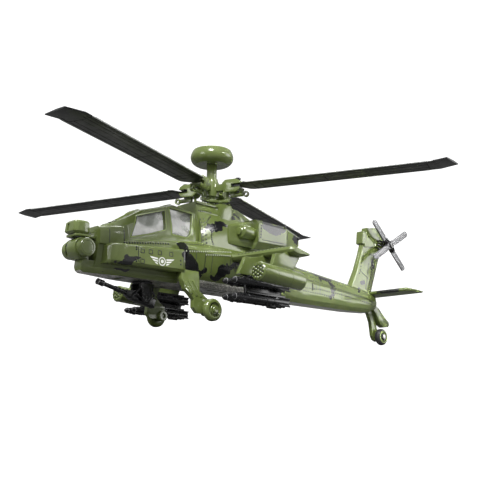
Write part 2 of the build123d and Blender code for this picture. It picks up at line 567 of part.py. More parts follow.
with BuildPart() as main_axle_left:
    add(rod((14.6, *MAIN_AXLE), (22.2, *MAIN_AXLE), 1.0))
    add(rod((21.6, *MAIN_AXLE), (22.2, *MAIN_AXLE), 1.5))
    chamfer(main_axle_left.edges().filter_by(GeomType.CIRCLE).sort_by(Axis.X)[-1], 0.25)

with BuildPart() as main_axle_right:
    mirror(main_axle_left.part, about=Plane.YZ)


def wheel_outline(x0, x1, r, bore):
    """Half section (x, radius): rounded tread, dished outer face, raised hub ring."""
    return [(x0, bore), (x0, r - 1.6), (x0 + 0.35, r - 0.5), (x0 + 1.0, r), (x1 - 1.0, r), (x1 - 0.35, r - 0.5), (x1, r - 1.2),
            (x1, r - 1.7), (x1 - 0.7, r - 2.0), (x1 - 0.7, bore + 1.2), (x1 - 0.1, bore + 1.0), (x1 - 0.1, bore)]


with BuildPart() as main_wheel_left:
    with BuildSketch(Plane(origin=(0, *MAIN_AXLE), x_dir=(1, 0, 0), z_dir=(0, -1, 0))):
        with BuildLine():
            Polyline(*wheel_outline(*MAIN_WHEEL_X, MAIN_WHEEL_R, 1.0 + PIN_CLEAR), close=True)
        make_face()
    revolve(axis=Axis((0, *MAIN_AXLE), (1, 0, 0)))

with BuildPart() as main_wheel_right:
    mirror(main_wheel_left.part, about=Plane.YZ)

TAIL_LEG_X = (-2.6, -0.4)
tail_leg = slab(Plane.YZ.offset(TAIL_LEG_X[0]), [(119.6, 22.4), (125.0, 22.4), (127.6, 18.0), (128.4, 13.5), (130.0, 9.4), (132.4, 6.6), (132.8, 4.2), (131.6, 2.5), (129.8, 2.1), (127.2, 2.9), (125.6, 5.1), (124.8, 10.0), (124.3, 12.9), (122.1, 17.4), (119.6, 19.4)], TAIL_LEG_X[1] - TAIL_LEG_X[0])
tail_brace = slab(Plane.YZ.offset(-2.0), [(121.4, 22.6), (126.4, 22.6), (129.8, 20.8), (132.4, 18.4), (135.2, 16.2), (138.6, 13.9), (139.2, 12.4), (138.0, 11.0), (134.2, 10.5), (131.0, 11.8), (128.8, 14.4), (126.6, 17.8)], 3.6)

with BuildPart() as tail_gear:
    # a blade-like front leg and a wide rear brace, moulded together
    add(tail_leg)
    add(tail_brace)
    add(boom, mode=Mode.SUBTRACT)
    with Locations(Plane(origin=(-1.5, *TAIL_AXLE), z_dir=(1, 0, 0))):
        Cylinder(0.8, 4.0, mode=Mode.SUBTRACT)

with BuildPart() as tail_axle:
    add(rod((-2.4, *TAIL_AXLE), (4.2, *TAIL_AXLE), 0.8))
    add(rod((3.7, *TAIL_AXLE), (4.2, *TAIL_AXLE), 1.3))

with BuildPart() as tail_wheel:
    with BuildSketch(Plane(origin=(0, *TAIL_AXLE), x_dir=(1, 0, 0), z_dir=(0, -1, 0))):
        with BuildLine():
            Polyline(*wheel_outline(*TAIL_WHEEL_X, TAIL_WHEEL_R, 0.8 + PIN_CLEAR), close=True)
        make_face()
    revolve(axis=Axis((0, *TAIL_AXLE), (1, 0, 0)))

# ---------------------------------------------------------------- nose sensors
with BuildPart() as sensor_neck:
    # plate between the two turrets, its root on the nose, and a foot on the chin
    add(slab(Plane.XY.offset(30.7), [(3.4, -77.0), (4.4, -74.0), (4.4, -66.0), (-4.4, -66.0), (-4.4, -74.0), (-3.4, -77.0)], 1.0))
    add(slab(Plane.XY.offset(30.2), [(4.2, -68.5), (4.4, -66.0), (-4.4, -66.0), (-4.2, -68.5)], 3.4))
    add(hull, mode=Mode.SUBTRACT)
    with Locations((0, -74.0, 31.0)):
        Cylinder(1.2, 6.0, mode=Mode.SUBTRACT)

with BuildPart() as lower_sensor:
    # a fat drum lying across the nose, with flat round ends, a lens groove and a foot
    add(rod((-3.9, -73.0, 26.1), (3.9, -73.0, 26.1), 4.5))
    add(rod((-7.0, -73.0, 26.1), (7.0, -73.0, 26.1), 3.75))
    add(slab(Plane.XY.offset(21.6), [(2.5, -74.6), (2.7, -69.6), (-2.7, -69.6), (-2.5, -74.6)], 2.4))
    chamfer(lower_sensor.edges().filter_by(GeomType.CIRCLE).filter_by(lambda e: abs(e.center().X) > 6.9), 0.3)
    chamfer(lower_sensor.edges().filter_by(GeomType.CIRCLE).filter_by(lambda e: 3.8 < abs(e.center().X) < 4.0 and e.radius > 4.4), 0.5)
    with BuildSketch(Plane.YZ.offset(-3.2)):
        with BuildLine():
            Polyline((-78.0, 22.8), (-76.2, 22.8), (-76.2, 29.4), (-78.0, 29.4), close=True)
        make_face()
    extrude(amount=1.2, mode=Mode.SUBTRACT)

with BuildPart() as upper_sensor:
    # night-vision head: a drum on a pin, rounded in front, with a tall slot
    add(tower([(32.0, [(2.6, -77.0), (3.7, -75.6), (4.0, -73.6), (3.6, -71.0), (2.0, -70.2), (-2.0, -70.2), (-3.6, -71.0), (-4.0, -73.6), (-3.7, -75.6), (-2.6, -77.0)]),
               (32.8, [(3.2, -78.0), (4.3, -76.2), (4.6, -73.6), (4.0, -70.8), (2.2, -69.9), (-2.2, -69.9), (-4.0, -70.8), (-4.6, -73.6), (-4.3, -76.2), (-3.2, -78.0)]),
               (36.5, [(3.0, -77.6), (4.2, -76.0), (4.5, -73.6), (3.9, -70.8), (2.2, -69.9), (-2.2, -69.9), (-3.9, -70.8), (-4.5, -73.6), (-4.2, -76.0), (-3.0, -77.6)]),
               (37.3, [(2.6, -76.9), (3.7, -75.7), (4.0, -73.6), (3.4, -71.2), (1.8, -70.4), (-1.8, -70.4), (-3.4, -71.2), (-4.0, -73.6), (-3.7, -75.7), (-2.6, -76.9)])]))
    with BuildSketch(Plane.XY.offset(33.2)):
        with Locations((-1.0, -78.0)):
            Rectangle(1.3, 2.2)
    extrude(amount=3.0, mode=Mode.SUBTRACT)
    # pivot pin in the neck's hole, ending short of the drum below
    with BuildSketch(Plane(origin=(0, -74.0, 30.75))):
        Circle(1.2 - PIN_CLEAR)
    extrude(amount=1.6)

# ---------------------------------------------------------------- chin gun
with BuildPart() as gun_mount:
    # pivot pin with a lip above the belly plate, a round base, two arms
    with Locations((0, GUN_PIVOT[0], 16.3)):
        Cylinder(2.0 - PIN_CLEAR, 2.7, align=(Align.CENTER, Align.CENTER, Align.MIN))
    with Locations((0, GUN_PIVOT[0], 18.8)):
        Cylinder(2.8, 0.8, align=(Align.CENTER, Align.CENTER, Align.MIN))
    with Locations((0, GUN_PIVOT[0], 16.35)):
        Cylinder(4.4, 1.2, align=(Align.CENTER, Align.CENTER, Align.MAX))
    for x in (2.5, -3.9):
        add(slab(Plane.YZ.offset(x), [(-43.6, 15.3), (-42.4, 9.4), (-41.4, 7.3), (-38.6, 7.3), (-37.6, 9.4), (-36.4, 15.3)], 1.4))
    # ammunition chute on one arm
    add(slab(Plane.YZ.offset(-3.9), [(-38.2, 9.2), (-33.6, 12.0), (-33.6, 15.2), (-37.0, 15.3)], 1.4))
    with Locations(Plane(origin=(0, *GUN_PIVOT), z_dir=(1, 0, 0))):
        Cylinder(0.8, 10.0, mode=Mode.SUBTRACT)

gun_dir = Vector(0, -cos(radians(12.5)), sin(radians(12.5)))
gun_axis = Plane(origin=(0, *GUN_PIVOT), x_dir=(1, 0, 0), z_dir=gun_dir)
with BuildPart() as gun_receiver:
    with BuildSketch(gun_axis.offset(-6.2)):
        RectangleRounded(3.4, 4.2, 0.7)
    extrude(amount=12.4)
    with BuildSketch(gun_axis.offset(6.0)):
        RectangleRounded(2.5, 2.9, 0.6)
    extrude(amount=3.0)
    # trunnion pins in the arms
    with Locations(Plane(origin=(0, *GUN_PIVOT), z_dir=(1, 0, 0))):
        Cylinder(0.8 - PIN_CLEAR, 7.6)
    with BuildSketch(gun_axis.offset(9.2)):
        Circle(0.9)
    extrude(amount=-4.0, mode=Mode.SUBTRACT)
    # thrust faces 0.3 mm inside the arms
    with Locations(Plane(origin=(0, *GUN_PIVOT), z_dir=(1, 0, 0))):
        Cylinder(1.6, 4.4)

with BuildPart() as gun_barrel:
    with BuildSketch(gun_axis.offset(5.2)):
        Circle(0.9)
    extrude(amount=17.6)
    # cooling collars, flash hider and bore
    for d in (10.2, 12.0, 13.8):
        with BuildSketch(gun_axis.offset(d)):
            Circle(1.15)
        extrude(amount=0.8)
    with BuildSketch(gun_axis.offset(20.6)):
        Circle(1.3)
    extrude(amount=3.2)
    with BuildSketch(gun_axis.offset(24.0)):
        Circle(0.55)
    extrude(amount=-2.4, mode=Mode.SUBTRACT)

# ---------------------------------------------------------------- main rotor
def arm(az, r, z=0.0):
    """A point at radius r along a blade's azimuth, z above the blade roots."""
    return (r * cos(radians(az)), MAST_Y + r * sin(radians(az)), ROTOR_Z + z)


def blade_plane(az, droop, pitch):
    """Plane across a blade: normal out along the blade, local x along the chord, local y up."""
    a, d, p = radians(az), radians(droop), radians(pitch)
    return Plane(origin=arm(az, 0), x_dir=(-sin(a) * cos(p), cos(a) * cos(p), sin(p)), z_dir=(cos(a) * cos(d), sin(a) * cos(d), -sin(d)))


def blade_outline(lead, trail, t, e):
    """Blade section (chord, height): blunt leading edge, thin trailing edge."""
    m = trail + 0.62 * (lead - trail)
    return [(lead, 0.0), (lead - 0.5, 0.62 * t), (m, t), (trail, e), (trail, -e), (m, -t), (lead - 0.5, -0.62 * t)]


HALF = BLADE_CHORD / 2
PIN_R = 14.2             # radius of the pins through the grips
BLADE = [(12.0, blade_outline(2.0, -2.0, 0.55, 0.55)), (16.0, blade_outline(2.2, -2.2, 0.55, 0.55)), (18.6, blade_outline(HALF - 0.6, -HALF + 0.6, 0.65, 0.35)),
         (20.4, blade_outline(HALF, -HALF, 0.7, 0.3)), (108.0, blade_outline(HALF, -HALF, 0.62, 0.26)), (ROTOR_R, blade_outline(HALF - 3.4, -HALF - 3.0, 0.45, 0.2))]


def blade(n):
    """One blade: tongue for the grip, long parallel span, swept tip cut at a slant."""
    az = BLADE_AZ[n]
    a = radians(az)
    body = span(blade_plane(az, BLADE_DROOP[n], BLADE_PITCH[n]), BLADE)
    with BuildPart() as made:
        add(body)
        with BuildSketch(Plane(origin=arm(az, 0, -6), x_dir=(cos(a), sin(a), 0), z_dir=(0, 0, 1))):
            with BuildLine():
                Polyline((ROTOR_R - 0.1, 4.0), (ROTOR_R - 3.4, -HALF - 4.0), (ROTOR_R + 5, -HALF - 4.0), (ROTOR_R + 5, 4.0), close=True)
            make_face()
        extrude(amount=12, mode=Mode.SUBTRACT)
        with Locations(arm(az, PIN_R)):
            Cylinder(0.85, 6.0, mode=Mode.SUBTRACT)
    return made


rotor_blade_1 = blade(0)
rotor_blade_2 = blade(1)
rotor_blade_3 = blade(2)
rotor_blade_4 = blade(3)

# side view of a grip: eight-sided, with a deep throat toward the blade
GRIP = [(7.0, -1.7), (8.6, -3.1), (14.2, -3.1), (15.9, -2.2), (16.4, -1.0), (16.4, 1.0), (15.9, 2.2), (14.2, 3.1), (8.6, 3.1), (7.0, 1.7)]
with BuildPart() as rotor_hub:
    # central barrel with a flared collar under the post
    with BuildSketch(Plane(origin=(0, MAST_Y, 62.0))):
        Circle(3.6)
    extrude(amount=7.1)
    with BuildSketch(Plane(origin=(0, MAST_Y, 69.1))):
        Circle(3.2)
    extrude(amount=0.9)
    for az in BLADE_AZ:
        a = radians(az)
        side = Plane(origin=arm(az, 0), x_dir=(cos(a), sin(a), 0), z_dir=(sin(a), -cos(a), 0))
        # arm and grip
        with BuildSketch(side):
            with Locations((5.2, 0)):
                Rectangle(6.0, 3.2)
        extrude(amount=1.5, both=True)
        with BuildSketch(side):
            with BuildLine():
                Polyline(*GRIP, close=True)
            make_face()
        extrude(amount=2.7, both=True)
    for az in BLADE_AZ:
        a = radians(az)
        side = Plane(origin=arm(az, 0), x_dir=(cos(a), sin(a), 0), z_dir=(sin(a), -cos(a), 0))
        # slot for the blade's tongue, open outward, and the pin hole
        with BuildSketch(side):
            with BuildLine():
                Polyline((11.8, -0.95), (17.4, -1.05), (17.4, 0.85), (11.8, 0.8), close=True)
            make_face()
        extrude(amount=4.0, both=True, mode=Mode.SUBTRACT)
        with Locations(arm(az, PIN_R)):
            Cylinder(0.85, 12.0, mode=Mode.SUBTRACT)

with BuildPart() as main_mast:
    # journal in the roof, retaining head inside the body, sleeve above, post to the radome
    with Locations((0, MAST_Y, 46.0)):
        Cylinder(MAST_R, 12.4, align=(Align.CENTER, Align.CENTER, Align.MIN))
    with Locations((0, MAST_Y, 48.2)):
        Cylinder(2.7, 1.1, align=(Align.CENTER, Align.CENTER, Align.MIN))
    with Locations((0, MAST_Y, 58.3)):
        Cylinder(2.4, 3.7, align=(Align.CENTER, Align.CENTER, Align.MIN))

with BuildPart() as radome_post:
    with BuildSketch(Plane(origin=(0, MAST_Y, 70.0))):
        Circle(3.0)
    extrude(amount=0.9)
    with BuildSketch(Plane(origin=(0, MAST_Y, 70.9))):
        Circle(POST_R)
    extrude(amount=7.1)

with BuildPart() as radome:
    with BuildSketch(Plane.XZ.offset(-MAST_Y)):
        with BuildLine():
            Line((0, 78.0), (7.8, 78.0))
            Spline((7.8, 78.0), (9.7, 79.5), (RADOME_R, RADOME_Z), (9.5, 84.6), (7.2, 85.8), tangents=((0.8, 0.35), (-0.92, 0.25)))
            Line((7.2, 85.8), (7.0, 85.6))
            Line((7.0, 85.6), (6.7, 85.95))
            Spline((6.7, 85.95), (3.6, 86.35), (0, 86.45), tangents=((-0.97, 0.2), (-1, 0)))
            Line((0, 86.45), (0, 78.0))
        make_face()
    revolve(axis=Axis((0, MAST_Y, 0), (0, 0, 1)))

with BuildPart() as swashplate:
    with BuildSketch(Plane(origin=(0, MAST_Y, 58.7))):
        Circle(4.6)
        for az in BLADE_AZ:
            a = radians(az)
            with Locations(Location((4.6 * cos(a), 4.6 * sin(a), 0), (0, 0, az))):
                Rectangle(10.0, 1.8)
        Circle(2.4, mode=Mode.SUBTRACT)
    extrude(amount=1.3)

with BuildPart() as pitch_links:
    for az in BLADE_AZ:
        add(rod(arm(az, 8.7, 60.0 - ROTOR_Z), arm(az, 8.7, -3.1), 0.65))

with BuildPart() as blade_pins:
    for az in BLADE_AZ:
        with Locations(arm(az, PIN_R, -3.1)):
            Cylinder(0.8, 6.2, align=(Align.CENTER, Align.CENTER, Align.MIN))
        with Locations(arm(az, PIN_R, 3.1)):
            Cylinder(1.3, 0.8, align=(Align.CENTER, Align.CENTER, Align.MIN))

with BuildPart() as lag_dampers:
    for az in BLADE_AZ:
        a = radians(az)
        side = Plane(origin=arm(az, 0), x_dir=(cos(a), sin(a), 0), z_dir=(sin(a), -cos(a), 0))
        # saddle under the grip, cylinder outward, ring eye at its end
        with BuildSketch(side):
            with BuildLine():
                Polyline((10.6, -3.1), (13.0, -3.1), (13.0, -5.0), (10.6, -5.0), close=True)
            make_face()
        extrude(amount=1.0, both=True)
        out = Plane(origin=arm(az, 10.8, -4.3), z_dir=(cos(a), sin(a), 0))
        with BuildSketch(out):
            Circle(1.0)
        extrude(amount=6.6)
        with BuildSketch(Plane(origin=arm(az, 18.4, -4.3), x_dir=(cos(a), sin(a), 0), z_dir=(sin(a), -cos(a), 0))):
            Circle(1.5)
            Circle(0.7, mode=Mode.SUBTRACT)
        extrude(amount=0.6, both=True)

# ---------------------------------------------------------------- tail rotor
def tail_outline(angle, r):
    """Two-bladed bar (y, z) about the tail shaft, with rounded tips."""
    u = (cos(radians(angle)), sin(radians(angle)))
    v = (-u[1], u[0])
    pts = []
    for s in (1, -1):
        for d, w in ((1.9, 1.9), (3.0, 1.1), (3.8, 1.1), (5.4, 1.75), (r - 1.1, 1.75), (r - 0.3, 1.2), (r, 0.5), (r, -0.5), (r - 0.3, -1.2), (r - 1.1, -1.75), (5.4, -1.75), (3.8, -1.1), (3.0, -1.1), (1.9, -1.9)):
            pts.append((TAIL_HUB[0] + s * (d * u[0] + w * v[0]), TAIL_HUB[1] + s * (d * u[1] + w * v[1])))
    return pts


with BuildPart() as tail_rotor_hub:
    add(rod((3.0, *TAIL_HUB), (8.6, *TAIL_HUB), 1.1))
    add(rod((4.9, *TAIL_HUB), (6.0, *TAIL_HUB), 2.3))
    add(rod((8.6, *TAIL_HUB), (9.2, *TAIL_HUB), 1.5))

with BuildPart() as tail_rotor_blade_inner:
    add(slab(Plane.YZ.offset(6.0), tail_outline(180 - 41.3, TAIL_ROTOR_R), 0.9))
    with Locations(Plane(origin=(6.4, *TAIL_HUB), z_dir=(1, 0, 0))):
        Cylinder(1.1, 4.0, mode=Mode.SUBTRACT)

with BuildPart() as tail_rotor_blade_outer:
    add(slab(Plane.YZ.offset(7.3), tail_outline(30.7, TAIL_ROTOR_R), 0.9))
    with Locations(Plane(origin=(7.7, *TAIL_HUB), z_dir=(1, 0, 0))):
        Cylinder(1.1, 4.0, mode=Mode.SUBTRACT)

# ---------------------------------------------------------------- write the pieces
PIECES = {
    "fuselage_upper": fuselage_upper, "fuselage_lower": fuselage_lower, "body_screws": body_screws,
    "tail_boom": tail_boom, "stabilator": stabilator, "tail_gearbox": tail_gearbox,
    "cheek_fairing_left": cheek_fairing_left, "cheek_fairing_right": cheek_fairing_right,
    "canopy_frame": canopy_frame, "canopy_glazing": canopy_glazing,
    "cockpit_tub": cockpit_tub, "cockpit_seats": cockpit_seats,
    "rotor_pylon": rotor_pylon, "engine_nacelle_left": engine_nacelle_left, "engine_nacelle_right": engine_nacelle_right,
    "nose_gearbox_left": nose_gearbox_left, "nose_gearbox_right": nose_gearbox_right,
    "stub_wing_left": stub_wing_left, "stub_wing_right": stub_wing_right,
    "outer_pylon_left": outer_pylon_left, "outer_pylon_right": outer_pylon_right,
    "inner_pylon_left": inner_pylon_left, "inner_pylon_right": inner_pylon_right,
    "rocket_pod_left": rocket_pod_left, "rocket_pod_right": rocket_pod_right,
    "missile_rack_left": missile_rack_left, "missile_rack_right": missile_rack_right,
    "missiles_left": missiles_left, "missiles_right": missiles_right,
    "main_gear_leg_left": main_gear_leg_left, "main_gear_leg_right": main_gear_leg_right,
    "main_axle_left": main_axle_left, "main_axle_right": main_axle_right,
    "main_wheel_left": main_wheel_left, "main_wheel_right": main_wheel_right,
    "tail_gear": tail_gear, "tail_axle": tail_axle, "tail_wheel": tail_wheel,
    "sensor_neck": sensor_neck, "lower_sensor": lower_sensor, "upper_sensor": upper_sensor,
    "gun_mount": gun_mount, "gun_receiver": gun_receiver, "gun_barrel": gun_barrel,
    "main_mast": main_mast, "rotor_hub": rotor_hub, "radome_post": radome_post, "radome": radome,
    "rotor_blade_1": rotor_blade_1, "rotor_blade_2": rotor_blade_2, "rotor_blade_3": rotor_blade_3, "rotor_blade_4": rotor_blade_4,
    "blade_pins": blade_pins, "lag_dampers": lag_dampers, "pitch_links": pitch_links, "swashplate": swashplate,
    "tail_rotor_hub": tail_rotor_hub, "tail_rotor_blade_inner": tail_rotor_blade_inner, "tail_rotor_blade_outer": tail_rotor_blade_outer,
}
# the row's origin is the middle of the whole toy's box, on the ground
to_row = Location((0, -ROW_Y, 0))
for name, piece in PIECES.items():
    piece.part.move(to_row)
    piece.part.label = name
    export_step(piece.part, f"parts/{name}.step")
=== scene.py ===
import bpy
import bmesh
import json
import math
import numpy as np
from mathutils import Vector, Matrix
from mathutils.bvhtree import BVHTree


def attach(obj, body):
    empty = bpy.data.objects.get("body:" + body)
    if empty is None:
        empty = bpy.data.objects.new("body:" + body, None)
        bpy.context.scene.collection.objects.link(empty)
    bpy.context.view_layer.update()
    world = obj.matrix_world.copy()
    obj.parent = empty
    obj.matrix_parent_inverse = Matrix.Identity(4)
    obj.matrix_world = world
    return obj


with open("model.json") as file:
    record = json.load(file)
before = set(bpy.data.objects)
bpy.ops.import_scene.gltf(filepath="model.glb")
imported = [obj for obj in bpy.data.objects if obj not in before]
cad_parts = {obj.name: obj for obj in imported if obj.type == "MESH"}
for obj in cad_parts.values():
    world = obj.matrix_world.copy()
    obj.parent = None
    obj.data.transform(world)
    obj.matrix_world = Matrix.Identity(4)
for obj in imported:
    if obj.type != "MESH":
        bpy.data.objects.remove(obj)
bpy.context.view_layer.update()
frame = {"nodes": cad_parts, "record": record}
NODES = frame["nodes"]
BODY_OF = {n: b for b, ns in frame["record"]["behaviour"]["bodies"].items() for n in ns}
MM = 0.001
ROW_Y = 20.4306         # ship's y (mast = 0) of the row's origin, in mm


def P(x, y, z):
    """Ship millimetres (mast at x = y = 0) to row metres."""
    return Vector((x * MM, (y - ROW_Y) * MM, z * MM))


# ------------------------------------------------------------------ camera, floor, light
def set_camera():
    eye, target = P(274.02, -246.55, -37.79), P(3.12, 15.58, 43.38)
    fwd = (target - eye).normalized()
    right = fwd.cross(Vector((0, 0, 1))).normalized()
    up = right.cross(fwd)
    roll = math.radians(0.66)
    r2 = right * math.cos(roll) + up * math.sin(roll)
    u2 = up * math.cos(roll) - right * math.sin(roll)
    cam = bpy.data.cameras.new("camera")
    cam.lens, cam.sensor_width, cam.sensor_fit = 59.58, 36.0, "HORIZONTAL"
    cam.clip_start, cam.clip_end = 0.01, 20.0
    ob = bpy.data.objects.new("camera", cam)
    bpy.context.scene.collection.objects.link(ob)
    m = Matrix((r2, u2, -fwd)).transposed().to_4x4()
    m.translation = eye
    ob.matrix_world = m
    bpy.context.scene.camera = ob


set_camera()
bpy.context.scene.view_settings.view_transform = "Standard"
bpy.context.scene.view_settings.exposure = 0.3


class Tree:
    """A short way to write shader nodes."""

    def __init__(self, name, world=False):
        if world:
            self.owner = bpy.data.worlds.new(name)
        else:
            self.owner = bpy.data.materials.new(name)
        self.owner.use_nodes = True
        self.t = self.owner.node_tree
        self.t.nodes.clear()

    def n(self, kind, **props):
        node = self.t.nodes.new(kind)
        for k, v in props.items():
            setattr(node, k, v)
        return node

    def link(self, a, b):
        self.t.links.new(a, b)

    def put(self, socket, value):
        if isinstance(value, bpy.types.NodeSocket):
            self.link(value, socket)
        elif value is not None:
            socket.default_value = value

    def math(self, op, a, b=None, c=None, clamp=False):
        node = self.n("ShaderNodeMath", operation=op, use_clamp=clamp)
        for i, v in enumerate((a, b, c)):
            self.put(node.inputs[i], v)
        return node.outputs[0]

    def vec(self, op, a, b=None, out=0):
        node = self.n("ShaderNodeVectorMath", operation=op)
        self.put(node.inputs[0], a)
        if b is not None:
            self.put(node.inputs[1], b)
        return node.outputs["Value"] if op in ("LENGTH", "DOT_PRODUCT", "DISTANCE") else node.outputs[0]

    def ramp(self, value, lo, hi, a=0.0, b=1.0, smooth=True):
        node = self.n("ShaderNodeMapRange", interpolation_type="SMOOTHSTEP" if smooth else "LINEAR")
        self.put(node.inputs["Value"], value)
        for k, v in (("From Min", lo), ("From Max", hi), ("To Min", a), ("To Max", b)):
            node.inputs[k].default_value = v
        return node.outputs["Result"]

    def mix(self, fac, a, b, blend="MIX"):
        node = self.n("ShaderNodeMix", data_type="RGBA", blend_type=blend)
        self.put(node.inputs["Factor"], fac)
        self.put(node.inputs["A"], a if not isinstance(a, tuple) else (*a, 1.0)[:4])
        self.put(node.inputs["B"], b if not isinstance(b, tuple) else (*b, 1.0)[:4])
        return node.outputs["Result"]

    def noise(self, vec, scale, detail=3.0, rough=0.5, out="Fac", dist=0.0):
        node = self.n("ShaderNodeTexNoise")
        self.put(node.inputs["Vector"], vec)
        node.inputs["Scale"].default_value = scale
        node.inputs["Detail"].default_value = detail
        node.inputs["Roughness"].default_value = rough
        node.inputs["Distortion"].default_value = dist
        return node.outputs[out]

    def voronoi(self, vec, scale, feature="F1", out="Distance", rand=1.0):
        node = self.n("ShaderNodeTexVoronoi", feature=feature)
        self.put(node.inputs["Vector"], vec)
        node.inputs["Scale"].default_value = scale
        node.inputs["Randomness"].default_value = rand
        return node.outputs[out]

    def bump(self, height, distance, strength=1.0, normal=None):
        node = self.n("ShaderNodeBump")
        node.inputs["Strength"].default_value = strength
        node.inputs["Distance"].default_value = distance
        self.put(node.inputs["Height"], height)
        if normal is not None:
            self.link(normal, node.inputs["Normal"])
        return node.outputs[0]

    def obj(self):
        return self.n("ShaderNodeTexCoord").outputs["Object"]

    def xyz(self, vec):
        s = self.n("ShaderNodeSeparateXYZ")
        self.link(vec, s.inputs[0])
        return s.outputs

    def principled(self, **sockets):
        b = self.n("ShaderNodeBsdfPrincipled")
        o = self.n("ShaderNodeOutputMaterial")
        self.link(b.outputs[0], o.inputs[0])
        for k, v in sockets.items():
            name = {"color": "Base Color", "rough": "Roughness", "metal": "Metallic", "normal": "Normal", "coat": "Coat Weight",
                    "coat_rough": "Coat Roughness", "ior": "IOR", "spec": "Specular IOR Level", "trans": "Transmission Weight", "alpha": "Alpha"}[k]
            if isinstance(v, tuple) and len(v) == 3:
                v = (*v, 1.0)
            self.put(b.inputs[name], v)
        return self.owner


def make_world():
    w = Tree("studio", world=True)
    bpy.context.scene.world = w.owner
    coord = w.n("ShaderNodeTexCoord").outputs["Generated"]
    s = w.xyz(coord)
    # dim room, a little brighter above and to the port side
    up = w.ramp(s["Z"], -0.4, 0.6, 0.08, 0.52)
    side = w.ramp(s["X"], -0.9, 1.0, 0.80, 1.10)
    level = w.math("MULTIPLY", up, side)
    back = w.n("ShaderNodeBackground")
    back.inputs["Color"].default_value = (1.0, 1.0, 1.0, 1.0)
    w.link(level, back.inputs["Strength"])
    plain = w.n("ShaderNodeBackground")
    plain.inputs["Color"].default_value = (1.0, 1.0, 1.0, 1.0)
    plain.inputs["Strength"].default_value = 1.05
    path = w.n("ShaderNodeLightPath").outputs["Is Camera Ray"]
    mix = w.n("ShaderNodeMixShader")
    w.link(path, mix.inputs[0])
    w.link(back.outputs[0], mix.inputs[1])
    w.link(plain.outputs[0], mix.inputs[2])
    out = w.n("ShaderNodeOutputWorld")
    w.link(mix.outputs[0], out.inputs[0])


make_world()


def area(name, pos, target, size, power, colour=(1, 1, 1), shape="RECTANGLE", size_y=None):
    light = bpy.data.lights.new(name, "AREA")
    light.shape, light.size, light.energy, light.color = shape, size, power, colour
    light.size_y = size_y or size
    ob = bpy.data.objects.new(name, light)
    bpy.context.scene.collection.objects.link(ob)
    ob.location = pos
    ob.rotation_euler = (target - pos).to_track_quat("-Z", "Y").to_euler()
    return ob


# a soft panel that the port side mirrors from the wing aft, a gridded light on the rear half, a main light over the nose
area("panel", P(470, 560, 200), P(10, 40, 45), 0.36, 1.3)
area("main", P(330, -360, 560), P(0, 0, 40), 0.16, 6.0)
area("rear", P(520, 260, 300), P(10, 84, 44), 0.12, 0.05).data.spread = math.radians(18)
area("top", P(-160, 120, 700), P(0, 0, 40), 0.4, 2.2)
area("ahead", P(-40, -700, 160), P(0, -20, 40), 0.25, 0.8)


def make_floor():
    me = bpy.data.meshes.new("floor")
    bm = bmesh.new()
    bmesh.ops.create_grid(bm, x_segments=8, y_segments=8, size=1.6)
    bm.to_mesh(me)
    bm.free()
    ob = bpy.data.objects.new("floor", me)
    bpy.context.scene.collection.objects.link(ob)
    ob.location = (0, 0, -0.00002)
    m = Tree("floor_pale")
    geo = m.n("ShaderNodeNewGeometry")
    b = m.n("ShaderNodeBsdfPrincipled")
    grain = m.noise(m.obj(), 40.0, 2.0)
    tone = m.mix(m.ramp(grain, 0.3, 0.7, 0, 1), (0.80, 0.80, 0.79), (0.83, 0.83, 0.82))
    # the floor throws little light back up, as if it were far below
    seen = m.n("ShaderNodeLightPath").outputs["Is Camera Ray"]
    m.link(m.mix(seen, (0.10, 0.10, 0.10), tone), b.inputs["Base Color"])
    b.inputs["Roughness"].default_value = 0.85
    # the pale floor melts into the white backdrop away from the toy
    far = m.n("ShaderNodeEmission")
    far.inputs["Color"].default_value = (1.0, 1.0, 1.0, 1.0)
    far.inputs["Strength"].default_value = 1.05
    reach = m.ramp(m.vec("LENGTH", m.obj()), 0.22, 0.62, 0.0, 1.0)
    fade = m.n("ShaderNodeMixShader")
    m.link(m.math("MULTIPLY", reach, seen), fade.inputs[0])
    m.link(b.outputs[0], fade.inputs[1])
    m.link(far.outputs[0], fade.inputs[2])
    clear = m.n("ShaderNodeBsdfTransparent")
    mix = m.n("ShaderNodeMixShader")
    m.link(geo.outputs["Backfacing"], mix.inputs[0])
    m.link(fade.outputs[0], mix.inputs[1])
    m.link(clear.outputs[0], mix.inputs[2])
    out = m.n("ShaderNodeOutputMaterial")
    m.link(mix.outputs[0], out.inputs[0])
    me.materials.append(m.owner)


make_floor()

